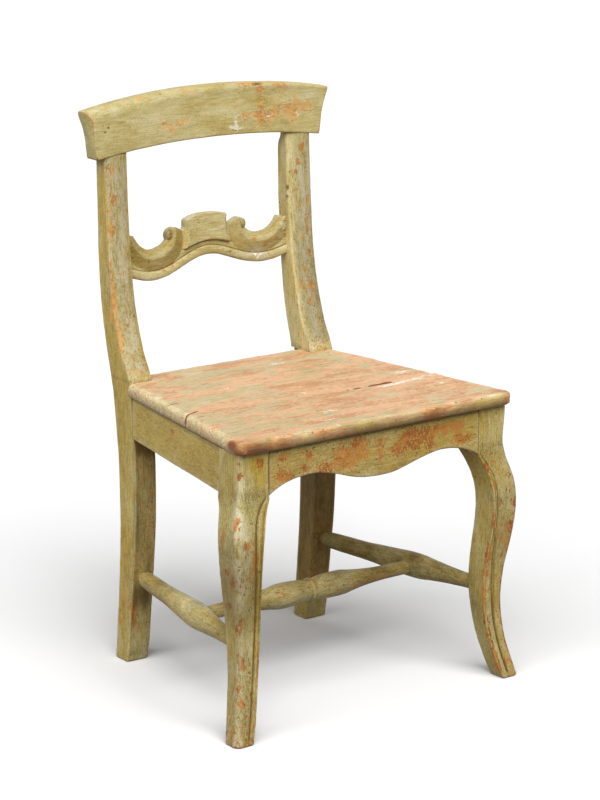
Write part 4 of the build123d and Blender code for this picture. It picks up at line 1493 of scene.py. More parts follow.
# --- seat
@dataclass
class SeatBoards:
    """Two boards across the chair with an open joint, nosed on three sides."""

    front: float = -224.0
    back: float = 178.5
    front_half: float = 253.0
    post_half: float = 194.75
    corner_radius: float = 17.0
    joint: float = -70.0
    joint_gap: float = 0.8
    nose_front: float = 5.0
    nose_side: float = 8.5
    nose_bottom: float = 4.0
    notch_gap: float = 0.8
    crack_path: Knots = (
        (-246, -76), (-240, -70), (-233, -61), (-226, -53), (-217, -49), (-207, -45), (-198, -41)
    )

    def half_width(self, y: np.ndarray) -> np.ndarray:
        """Half width of the seat, with its rounded corners.

        Args:
            y: Place from front to back.

        Returns:
            Distance of the edge from the centre line.
        """
        taper = (self.front_half - self.post_half) / (POST_FACE_LOW + 5.5 - self.front)
        corner = end_round(y - self.front, self.corner_radius)
        return self.front_half - taper * (y - self.front) - corner

    def top_relief(self, points: np.ndarray) -> np.ndarray:
        """Unevenness of the worn upper face: grain, hollows and the crack.

        Args:
            points: Places on the seat, seen from above.

        Returns:
            Height above the level of the seat.
        """
        flat = np.column_stack([points, np.zeros(len(points))])
        grain = 0.22 * lattice_noise(flat, (60, 4.0, 9), 81) + 0.12 * lattice_noise(flat, (25, 1.9, 9), 82)
        wavy = 0.5 * lattice_noise(flat, (160, 60, 9), 83) - 0.5
        away = distance_to_path(points, np.array(self.crack_path))
        crack = 3.0 * bell(away, 1.0 + 0.7 * ease(-222, -240, points[:, 0]))
        return grain + wavy - crack + self.cupping(*points.T)

    def cupping(self, x: np.ndarray, y: np.ndarray) -> np.ndarray:
        """How the boards have moved beside their joint, so that it gapes and steps.

        Args:
            x: Places across the seat.
            y: Places from front to back.

        Returns:
            Height above the level of the seat.
        """
        near = ease(26, 0, np.abs(y - self.joint))
        gape = band(24, 52, 134, 152, x)
        step = ease(150, 205, x)
        wide = 0.4 + 0.6 * ease(84, 104, x)
        broken = ease(1.8 * wide, 0.3 * wide, np.abs(y - self.joint + 0.8)) * gape
        front = (1.3 * step - 1.5 * gape) * near - 2.4 * broken
        return np.where(y < self.joint, front, (0.3 * gape - 1.0 * step) * near)

    def board(self, y_start: float, y_end: float, step: float, notched: bool) -> Skin:
        """Shape of one board.

        Args:
            y_start: Front edge.
            y_end: Rear edge.
            step: Distance between grid points.
            notched: Whether the rear corners are cut out for the posts.

        Returns:
            The skin of the board, in place.
        """
        stop = POST_FACE_SEAT - self.notch_gap - 0.9
        inner = POST_INNER - self.notch_gap
        y = stations(y_start, y_end, step, fine=12)
        if notched:
            y = np.sort(np.append(y[np.abs(y - stop) > step / 2], stop))
        half = self.half_width(y)
        packed = 1 - stations(0, 1, 0.045, fine=0.24)[::-1]
        middle = stations(-inner, inner, step)
        wing = inner + (half[:, None] - inner) * np.sort(packed)[None, 1:]
        x = np.concatenate([-wing[:, ::-1], np.broadcast_to(middle, (len(y), len(middle))), wing], axis=1)
        grid_y = np.broadcast_to(y[:, None], x.shape)
        kept = np.ones((x.shape[0] - 1, x.shape[1] - 1), bool)
        flat = np.stack([x, grid_y], axis=-1).reshape(-1, 2)
        if notched:
            outer = np.abs((x[0, 1:] + x[0, :-1]) / 2) > inner
            kept[np.ix_(y[:-1] >= stop - 0.01, outer)] = False
            from_side = np.where(grid_y < stop + 1, half[:, None], inner + 3) - np.abs(x)
            away = np.minimum(from_side, 6 + (y_end - grid_y))
        else:
            rim_y = stations(self.front, self.joint, 3, fine=16)
            right = np.stack([self.half_width(rim_y), rim_y], axis=1)
            away = distance_to_path(flat, np.vstack([right[::-1] * (-1, 1), right])).reshape(x.shape)
        level = np.column_stack([flat, 0 * flat[:, :1]])
        uneven = lattice_noise(level, (22, 22, 9), 84).reshape(x.shape)
        chipped = 0.7 * lattice_noise(level, (7, 7, 9), 89).reshape(x.shape)
        at_side = ease(8, 36, grid_y - self.front)
        nose = self.nose_front + (self.nose_side - self.nose_front) * at_side + 1.5 * uneven
        round_top = end_round(np.clip(away - np.maximum(chipped, 0), 0, 99), nose)
        joint_away = np.abs(grid_y - self.joint) - self.joint_gap / 2 + 0.25 * uneven
        lip = end_round(np.clip(joint_away, 0, 9), 1.8)
        lip = lip * (0.1 + 0.9 * ease(10, 50, x) + 0.6 * ease(-222, -236, x))
        relief = self.top_relief(flat).reshape(x.shape) * ease(0, 8, away + 3)
        top = SEAT_TOP - round_top - lip + relief
        return slab(x, grid_y, top, FRAME_TOP + end_round(away, self.nose_bottom), kept)

    def dress(self, shape: Skin) -> Skin:
        """Adds the marks of wear of a board: its bare top, painted edges, nose, joint and knot, with painted
        shadow on the lower part of the nose.

        Args:
            shape: Skin of the board.

        Returns:
            The same skin.
        """
        shape.mark_wear(edge=0.8, hollow=0.5).calm(worn=0.8, rubbed=0.9)
        x, y, z = shape.points.T
        flat = shape.points * (1, 1, 0)
        from_side = self.half_width(np.clip(y, self.front, 150)) - np.abs(x)
        from_front = y - self.front
        rim = np.minimum(from_side, from_front)
        at_side = from_side < from_front
        at_front = ~at_side
        broad = lattice_noise(flat, (75, 42, 9), 85) + 0.6 * lattice_noise(flat, (30, 16, 9), 86)
        uneven = 5 * lattice_noise(flat, (22, 14, 9), 87)
        nose = ease(448.0, 443.5, z)
        edge = ease(13, 6, rim + 0.5 * uneven)
        top_edge = edge * (1 - nose)
        zones = 0.2 * ease(60, 130, x) - 0.35 * ease(-185, -225, x)
        zones -= 0.15 * ease(40, 90, y) + 0.3 * ease(150, 172, y)
        # The lower part of the nose is darker and glazed: painted shadow under the rounded edge.
        shape.add(
            bare=1.06 + 0.45 * broad - 1.35 * ease(13, 6, rim + uneven) + zones
            + 0.3 * (nose + top_edge) * at_front + 0.75 * edge * at_side,
            shade=top_edge * (0.2 + 0.1 * at_side) + 0.26 * nose - 0.25 * ease(441, 435, z)
            - 0.75 * ease(440.5, 438, z) * at_front,
            amber=1.5 * nose * (1 - 0.7 * at_side),
            spotted=edge * (0.5 + 1.1 * at_side),
            scuffed=0.34 * edge * at_side + 0.25 * top_edge * at_front + 0.1 * nose,
            deep=0.4 * ease(439, 434, z),
        )
        crack = distance_to_path(shape.points[:, :2], np.array(self.crack_path))
        wide = 1 + 0.8 * ease(-222, -240, x)
        shape.add(deep=1.6 * ease(2.2 * wide, 0.8, crack) * (z > 440), bare=0.9 * ease(4 * wide, 2, crack))
        gape = band(48, 60, 134, 146, x)
        wide = 0.6 + 0.4 * ease(84, 104, x)
        gap_place = np.abs(y - self.joint + 0.6 + 0.8 * lattice_noise(flat, (9, 9, 9), 88))
        dark_gap = 1.5 * gape * wide * ease(1.9 * wide, 0.4, gap_place)
        shape.add(deep=dark_gap, bare=0.6 * gape * ease(9, 2, np.abs(y - self.joint)))
        from_knot = np.sqrt(((x + 245) / 1.1) ** 2 + ((y + 89) / 1.2) ** 2 + (z - 446) ** 2)
        knot = ease(8, 6, from_knot)
        shape.add(bare=1.8 * knot, amber=knot, shade=-0.9 * knot * (0.6 + 0.4 * ease(2, 5, from_knot)))
        return self.dress_spots(shape)

    def dress_spots(self, shape: Skin) -> Skin:
        """Adds the single places of wear of a board.

        Args:
            shape: Skin of the board.

        Returns:
            The same skin.
        """
        painted = (
            (-166, 5, 36, -0.72, 1.2, 0.6), (-60, 27, 34, -0.6, 1.5, 0.5), (-206, -170, 38, -0.72, 1.1, 0.7),
            (146, 134, 34, -0.6, 1.2, 0.8), (165, 42, 26, -0.48, 1.2, 0.8), (172, -30, 28, -0.78, 1.2, 0.6),
            (-91, 67, 28, -0.48, 1.4, 0.6), (215, -190, 30, -0.48, 0.6, 1.2),
            (-150, 110, 26, -0.48, 1.2, 0.8), (-196, 70, 22, -0.48, 0.8, 1.2),
            (-120, -10, 22, -0.42, 2, 0.5), (20, 90, 24, -0.36, 2, 0.5),
        )
        splits = ((-204, 12, 5, 1.1, 3, 0.3), (-216, 45, 5, 0.8, 2, 0.3))
        scuffs = (
            (184, -34, 13, 1.0, 1.5, 0.9), (118, -84, 14, 1.1, 2.2, 0.5), (150, -82, 16, 0.9, 2.2, 0.45),
            (-36, -151, 15, 0.8, 1.6, 0.5), (195, -121, 9, 0.9, 1.6, 0.5), (196, -78, 18, 0.8, 1.6, 0.35),
            (-10, -48, 9, 0.9, 1.6, 0.5), (-70, -190, 12, 0.8, 1.8, 0.5), (60, 120, 12, 0.7, 2, 0.5),
            (-100, 40, 9, 0.7, 2, 0.5),
        )
        for mark, rows in {"bare": painted, "deep": splits, "scuffed": scuffs}.items():
            on_top = [Spot(x, y, SEAT_TOP, *rest, (wide, deep, 1)) for x, y, *rest, wide, deep in rows]
            shape.spot(on_top, **{mark: 1})
        nose = spots(
            (-236, -222, 442, 15, 1.7, 1.6, 1), (-212, -224, 440, 12, 1.5, 1.4, 1), (246, -218, 442, 17, 1.6),
            (98, -224, 440, 13, 1.6, 1.7, 1), (-178, -224, 443, 11, 1.1, 1.8, 1),
            (-110, -224, 444, 9, 1.0, 1.6, 1), (-60, -224, 444, 12, 1.0, 2, 1),
            (-10, -224, 442, 9, 1.0, 2, 1), (30, -224, 444, 9, 0.8, 2, 1), (160, -222, 446, 8, 1.0, 2, 1),
        )
        corners = [
            Spot(-252, -204, 444, 10, 1.35, (1, 1.1, 0.9)), Spot(-252, -194, 444, 6, 1.0),
            Spot(-246, -218, 438, 6, 0.7, (1.4, 1.2, 0.8)), Spot(-222, -224, 438, 6, 0.5, (3, 1, 0.7)),
            Spot(250, -212, 439, 7, 0.7, (1, 1, 0.8)),
        ]
        shape.spot(nose, bare=1, shade=-0.36, deep=0.16, amber=0.8)
        return shape.spot(corners, bare=2.6, shade=-0.3, deep=0.8, scuffed=-1.2, amber=1.4)

    def build(self, finish: Material) -> None:
        """Builds both boards in a finish.

        Args:
            finish: The finish.
        """
        gap = self.joint_gap / 2
        front = self.dress(self.board(self.front, self.joint - gap, 1.6, notched=False))
        rear = self.dress(self.board(self.joint + gap, self.back, 1.9, notched=True))
        for shape, word in ((front, "front"), (rear, "rear")):
            hand_over(shape.piece(f"seat_{word}_worn", finish), f"seat_{word}_board")


# --- crest rail
@dataclass
class CrestRail:
    """Broad arched crest rail, domed on top, with hollowed ends that flare upwards."""

    face: float = 204.5
    half: float = 215.5
    half_widths: Knots = ((0, 206.6), (0.28, 208.9), (0.5, 211.6), (0.7, 215.6), (0.88, 220.6), (1, 223.8))
    left_twist: float = 4.5
    bottom_end: float = 783.0
    bottom_middle: float = 799.0
    top_end: float = 857.0
    top_middle: float = 877.5
    left_round: float = 17.0
    right_round: float = 4.0
    rear_round: float = 5.0
    arris: float = 1.8

    def arc(self, x: np.ndarray, middle: float, end: float) -> np.ndarray:
        """Height of a circular arc over the chair's width.

        Args:
            x: Places across the chair.
            middle: Height in the middle.
            end: Height at both ends.

        Returns:
            The heights.
        """
        rise = middle - end
        radius = (self.half**2 + rise**2) / (2 * rise)
        return middle - radius + np.sqrt(radius**2 - x**2)

    def edges(self, x: np.ndarray) -> tuple[np.ndarray, np.ndarray]:
        """Heights of the lower and the upper edge."""
        return self.arc(x, self.bottom_middle, self.bottom_end), self.arc(x, self.top_middle, self.top_end)

    def skin(self) -> Skin:
        """Shape of the crest rail.

        Returns:
            The skin of the rail, in place.
        """
        s = stations(-1, 1, 0.009, fine=0.02)
        bottom, top = self.edges(s * self.half)
        height = top - bottom
        drawn_in = end_round((1 - np.abs(s)) * self.half, self.arris)
        dome = self.left_round + (self.right_round - self.left_round) * ease(-0.8, 0.95, s)
        rear = self.rear_round + 2.5 * ease(-0.7, -1, s)
        radii = np.stack([2.4 + 0 * s, 2.0 + 0 * s, rear, dome], axis=1)
        low, high = (self.face + drawn_in, drawn_in), (BACK_LINE - drawn_in, height - drawn_in)
        along, y, up = sections(s, low, high, radii, shares(8, 24, 6, 36), arc_steps=9)
        share = up / height[:, None]
        twist = ease(26, 0, y - self.face) * ease(0.2, 0.9, share) * ease(-0.9, -1, along)
        x = along * spline(self.half_widths)(share) + self.left_twist * twist
        shape = loft(x, y, bottom[:, None] + up)
        shape.roughen(0.5, (80, 20, 20), 91).roughen(0.22, (14, 6, 6), 92)
        return shape.mark_wear(edge=0.9)

    def dress(self, shape: Skin) -> Skin:
        """Adds the marks of wear of the crest rail, and painted shade along its domed top.

        Args:
            shape: Skin of the rail.

        Returns:
            The same skin.
        """
        x, _, z = shape.points.T
        bottom, top = self.edges(np.clip(x, -215, 215))
        share = np.clip((z - bottom) / (top - bottom), 0, 1)
        to_end = spline(self.half_widths)(share) - np.abs(x)
        to_end = to_end - self.left_twist * (x < 0) * ease(0.2, 0.9, share)
        rim = ease(3.4, 1.6, to_end) * ease(0.3, 0.6, shape.marks["worn"])
        low_left = ease(0.34, 0.14, share) * ease(-20, -60, x)
        # Darker towards the top edge: painted shade that tones down the dome's highlight.
        shape.calm(rubbed=0.85, worn=0.5).add(
            bare=rim * (2.2 * ease(0.55, 0.7, share) + 0.8 + 0.9 * (x > 0) + 0.9 * ease(0.1, 0.02, share)),
            scuffed=0.2 * ease(6, 2, to_end) * (1 - rim) * (x < 0),
            shade=0.14 - 0.2 * ease(22, 6, top - z) - 0.14 * low_left
            - 0.9 * rim * ease(0.12, 0.02, share) * (x < 0),
            amber=0.42 * ease(-80, 20, x) - 0.34 - 0.1 * ease(-203, -210, x),
            deep=0.3 * ease(5, 0, z - bottom),
        )
        holes = [
            Spot(-195, 204, 835, 1.5, 1.0), Spot(-186, 204, 831, 1.9, 1.6),
            Spot(-192, 204, 825, 1.9, 1.5, (1.3, 1, 0.8)), Spot(88, 209, 872, 4, 1.3, (2.6, 1.4, 0.6)),
        ]
        flakes = spots(
            (-90, 204, 826, 9, 1.1), (-74, 204, 822, 10, 1.2), (-60, 204, 826, 8, 1.1),
            (-48, 204, 824, 7, 1.1),
            (64, 204, 823, 10, 1.2, 1.4, 0.8), (94, 204, 838, 9, 1.2, 0.8, 1.2), (91, 204, 819, 11, 1.25),
            (112, 204, 824, 10, 1.1), (124, 204, 830, 10, 1.1, 1, 1.4), (106, 204, 816, 9, 1.0),
            (140, 204, 829, 8, 1.5), (152, 204, 841, 10, 1.3, 1, 0.8), (158, 204, 831, 7, 1.3, 0.7, 2),
            (155, 204, 816, 10, 1.5, 1, 1.2), (170, 204, 828, 10, 1.3, 1.6, 0.7),
            (186, 204, 829, 9, 1.6, 1, 1.3), (91, 206, 863, 8, 1.2, 1.6, 1), (-186, 204, 831, 5, 0.8),
            (72, 210, 875, 9, 1.6, 3, 1), (124, 210, 871, 8, 1.5, 2.4, 1), (-40, 210, 873, 8, 1.0, 2.4, 1),
            (-120, 214, 868, 8, 1.0, 2.4, 1), (136, 206, 862, 7, 1.0, 2, 1), (214, 204, 856, 4, 1.2),
            (206, 204, 787, 4, 1.2),
        )
        scuffs = spots(
            (46, 204, 818, 6, 0.9, 0.7, 2.2), (50, 204, 808, 6, 1.0, 2, 0.8), (36, 204, 810, 5, 0.8),
            (108, 204, 821, 6, 1.0, 1.6, 0.8), (108, 204, 811, 4, 0.9), (164, 204, 819, 6, 0.8),
        )
        return shape.spot(holes, deep=1).spot(flakes, bare=1).spot(scuffs, scuffed=1)

    def build(self, paint: Material) -> None:
        """Builds the crest rail in a finish."""
        hand_over(self.dress(self.skin()).piece("crest_domed", paint), "crest_rail")


# --- carved rail
@dataclass
class CarvedRail:
    """Back rail with two C-scrolls, a bead along its lower edge and a raised tablet.

    Heights are above the seat, depths above the front of the plate.
    """

    plate: float = 9.5
    lean: float = 0.08
    level: float = 180.0
    face: float = 216.0
    lower: Knots = ((0, 165.2), (35, 158.0), (68, 145.5), (104, 139.6), (135, 143.8), (153.25, 149.0))
    trough: Knots = (
        (135, 207.2), (129.5, 198.5), (121, 190.6), (104, 184.8), (88, 186.8), (79.5, 190.2), (73.0, 195.4)
    )
    volute: Knots = (
        (73.0, 195.4), (74.3, 200.5), (73.2, 206.2), (69, 210.8), (62.5, 213.2), (55, 212.3), (49, 209.2),
        (44, 207.0),
    )
    shoulder: Knots = (
        (44, 207.0), (40.6, 209.2), (39.1, 213.5), (39.2, 218.8), (37.6, 222.6), (32.5, 225.6), (22, 228.5),
        (11, 230.0), (0, 230.5),
    )
    end_top: float = 205.5
    shift: float = -2.8
    ridge: Knots = (
        (58.4, 209), (59.0, 200), (61.5, 191), (67, 183), (76, 176.6), (88, 172.6), (103, 171.2), (122, 176),
        (135.5, 187), (143.5, 200), (146, 208),
    )
    flank_foot: Knots = (
        (44, 212), (43.5, 200), (44.5, 188), (48.5, 176), (58, 166), (72, 158.6), (86, 155.8), (103, 154.8),
        (118, 157), (134, 164), (147, 173), (156, 180),
    )
    hook: Knots = ((65.5, 213), (63.8, 206), (64.6, 199), (68, 194.5))
    tablet_side: Knots = ((181, 39.5), (186, 36.5), (196, 33.8), (206, 33.2), (216, 34.0), (226, 37.5))
    tablet_foot: Knots = ((0, 187), (16, 185.5), (30, 182), (42, 178))
    bead: float = 14.0
    height: float = 5.8
    rim: float = 1.2
    step: float = 0.8
    sag: Knots = (
        (-155, 0), (-135, 1.6), (-105, 3.4), (-60, 2.9), (-25, 1.8), (0, 0.8), (30, 0), (60, -0.8),
        (120, -0.9), (155, -0.4),
    )
    lift: Knots = (
        (-155, 2.5), (-135, 1.6), (-115, -0.8), (-80, 0), (30, 0.6), (50, 2.5), (75, 2.8), (100, 3.4),
        (130, 3.0), (155, 0),
    )

    def lower_edge(self, x: np.ndarray) -> np.ndarray:
        """Height of the lower edge at a distance to either side of the middle."""
        return spline([(-a, b) for a, b in self.lower[:0:-1]] + list(self.lower))(x)

    def outline(self) -> np.ndarray:
        """Closed outline of the rail, both halves.

        Returns:
            Points as (x, height).
        """
        x = np.linspace(0, POST_INNER, 60)
        low = np.stack([x, self.lower_edge(x)], axis=1)
        dip, scroll, crest = (
            smooth_path(*line) for line in ((self.trough, 46), (self.volute, 40), (self.shoulder, 44))
        )
        half = np.vstack([low, [(POST_INNER, self.end_top)], dip, scroll[1:], crest[1:]])
        return np.vstack([half, half[-2:0:-1] * (-1, 1)])

    def relief(self, x: np.ndarray, z: np.ndarray, edge: np.ndarray) -> tuple[np.ndarray, ...]:
        """Depth of the carving.

        Args:
            x: Distance from the centre line.
            z: Height above the seat.
            edge: Distance from the outline.

        Returns:
            Depth above the plate, how much soiling and painted shadow the place gets, and whether it lies on
            a flank or on the eye of a volute, which get painted shade.
        """
        x = np.abs(x)
        points = np.stack([x, z], axis=1)
        ridge, foot = smooth_path(self.ridge, 60), smooth_path(self.flank_foot, 60)
        to_ridge, to_foot = distance_to_path(points, ridge), distance_to_path(points, foot)
        in_cove = inside(points, np.vstack([ridge, [(152, 208), (152, 240), (58.4, 240)]]))
        in_scroll = inside(points, np.vstack([foot, [(170, 190), (170, 240), (44, 240)]]))
        above_low = z - self.lower_edge(x)
        bead_share = np.clip(above_low / self.bead, 0, 1)
        bead = self.rim + 2.9 * np.sqrt(np.clip(np.sin(math.pi * bead_share), 0, 1))
        fillet = 0.7 * ease(self.bead + 1.0, self.bead + 2.0, above_low)
        ground = np.where(above_low < self.bead, bead, fillet)
        share = to_ridge / np.maximum(to_ridge + to_foot, 1e-6)
        flank = self.height * (1 - share**1.35)
        cove_share = to_ridge / np.maximum(to_ridge + edge, 1e-6)
        cove = self.rim + (self.height - self.rim) * (1 - ease(0, 1, cove_share)) ** 1.15
        beside, above_foot = x - spline(self.tablet_side)(z), z - spline(self.tablet_foot)(x)
        slope = (1 - np.clip(beside / 11.5, 0, 1)) ** 1.7
        tablet = self.height * slope * ease(-0.4, 2.2, above_foot)
        tablet += 0.25 * ease(1.5, 0, np.abs(beside)) * ease(0, 2, above_foot)
        eye = np.exp(-((((x - 69.6) / 4.6) ** 2 + ((z - 203.6) / 8.6) ** 2) ** 2))
        hooked = bell(distance_to_path(points, np.array(self.hook)), 1.2) * (z > 190)
        scroll = np.maximum(np.where(in_cove, cove, flank), (self.height - 1.4) * eye) - 1.2 * hooked
        depth = np.where(in_scroll, scroll, np.maximum(ground, tablet))
        # Dark lines in the carving: dirt, with painted shadow under the foot of the tablet and along the foot
        # of the flanks.
        dirt_and_shade = 0.25 * bell(to_foot, 1.6) + 0.25 * hooked + 0.4 * bell(above_low - self.bead - 1, 1.2)
        dirt_and_shade += 0.35 * bell(to_ridge, 1.0) * band(58, 68, 84, 112, x)
        dirt_and_shade += 0.6 * bell(above_foot + 0.6, 1.5) * ease(46, 40, x)
        dirt_and_shade += 0.3 * bell(beside, 1.2) * ease(182, 188, z) * (x < 40)
        return depth, dirt_and_shade, 1.0 * (in_scroll & ~in_cove & (eye < 0.3)) + 1.5 * (eye > 0.25)

    def plate_skin(self) -> Skin:
        """Carved plate before it is bent and set in place.

        Returns:
            The skin as (x, height from the level, depth), with the marks of the carving.
        """
        outline = self.outline()
        x = np.arange(-POST_INNER - 1.2, POST_INNER + 1.3, self.step)
        flat = np.stack(np.meshgrid(x, np.arange(138, 232, self.step)), axis=-1)
        centres = (flat[:-1, :-1] + flat[1:, 1:]) / 2
        kept = inside(centres.reshape(-1, 2), outline).reshape(centres.shape[:2])
        around = np.pad(kept, 1).astype(int)
        count = around[:-1, :-1] + around[1:, :-1] + around[:-1, 1:] + around[1:, 1:]
        on_rim = (count > 0) & (count < 4)
        closed = np.vstack([outline, outline[:1]])
        flat[on_rim] = nearest_on_path(flat[on_rim], closed)[0]
        points = flat.reshape(-1, 2)
        edge = distance_to_path(points, closed)
        edge = np.where(np.abs(points[:, 0]) > POST_INNER - 3, np.maximum(edge, 2), edge)
        depth, dirt_and_shade, flank = self.relief(points[:, 0], points[:, 1], edge)
        size = flat.shape[:2]
        front = (depth - end_round(edge, 1.7)).reshape(size)
        back = (end_round(edge, 1.5) - self.plate).reshape(size)
        shape = slab(flat[..., 0], flat[..., 1] - self.level, front, back, kept)
        numbers = {tuple(p): i for i, p in enumerate((points - (0, self.level)).round(5).tolist())}
        origin = np.array([numbers[tuple(p)] for p in shape.points[:, :2].round(5).tolist()])
        in_front = shape.points[:, 2] > -3
        dirt_and_shade, flank = dirt_and_shade[origin] * in_front, flank[origin] * in_front
        # Flanks and volute eyes are darker and warmer as painted shade.
        return shape.add(deep=dirt_and_shade, amber=0.35 * flank, shade=-0.17 * flank - 0.14 * in_front)

    def skin(self) -> Skin:
        """Shape of the rail, sagging and leaning as it does.

        Returns:
            The skin of the rail, in place.
        """
        shape = self.plate_skin()
        u, v, w = shape.points.T
        above = v + self.level - self.lower_edge(u)
        v = v - spline(self.sag)(u) * ease(46, 12, above)
        v = v + spline(self.lift)(u) * ease(14, 40, above)
        u = u + self.shift * (1 - (u / POST_INNER) ** 2)
        tilt = math.hypot(1, self.lean)
        y = self.face + (self.lean * v - w) / tilt
        z = SEAT_TOP + self.level + (v + self.lean * w) / tilt
        shape.points = np.stack([u, y, z], axis=1)
        shape.face_outwards()
        shape.roughen(0.25, (20, 9, 9), 101).roughen(0.15, (5, 4, 4), 102)
        return shape.mark_wear(edge=0.8, hollow=0.7)

    def dress(self, shape: Skin) -> Skin:
        """Adds the marks of wear of the carved rail, and painted highlights.

        Args:
            shape: Skin of the rail.

        Returns:
            The same skin.
        """
        x, _, z = shape.points.T
        on_left = ease(-45, -60, x) * ease(608, 622, z)
        on_tablet = ease(42, 36, np.abs(x)) * ease(634, 644, z)
        shape.calm(rubbed=0.5, worn=0.6, deep=0.4).add(
            shade=0.06 * on_tablet - 0.18 * on_left,
            amber=0.15 * on_left - 0.35 * on_tablet,
            deep=0.6 * ease(7, 0, POST_INNER - np.abs(x)),
        )
        flakes = spots(
            (-98, 214, 590, 6, 1.5), (-130, 213, 593, 5, 1.2), (-80, 214, 598, 5, 1.4, 2, 1),
            (-62, 214, 606, 5, 1.2, 2, 1), (-70, 210, 655, 5, 1.1), (-70, 209, 640, 4, 1.2),
            (-47, 208, 664, 5, 1.1), (-42, 209, 634, 5, 0.9, 1, 2), (110, 208, 616, 7, 1.3, 1.6, 1),
            (124, 208, 626, 6, 1.3), (118, 214, 597, 7, 1.4, 1.6, 1), (-6, 212, 636, 5, 1.3, 2.5, 1),
            (84, 212, 628, 6, 1.1), (0, 206, 679, 5, 1.0, 4, 1), (66, 209, 644, 5, 1.0, 1, 2),
            (-146, 213, 650, 5, 1.3), (142, 210, 652, 5, 1.2, 1.6, 1),
        )
        scuffs = spots((91, 213, 603, 9, 0.8, 1.6, 1), (142, 213, 642, 8, 0.6, 0.8, 2))
        # Painted highlights on the bead and the scroll, at the chalky scuffs.
        rubbed = spots((91, 213, 603, 14, 0.8, 1.6, 1), (142, 213, 642, 12, 0.8, 0.8, 2))
        return shape.spot(scuffs, scuffed=1).spot(rubbed, rubbed=1).spot(flakes, bare=1)

    def build(self, paint: Material) -> None:
        """Builds the carved rail in a finish."""
        piece = self.dress(self.skin()).piece("carved_rail_scrolled", paint, crease=60)
        hand_over(piece, "carved_back_rail")


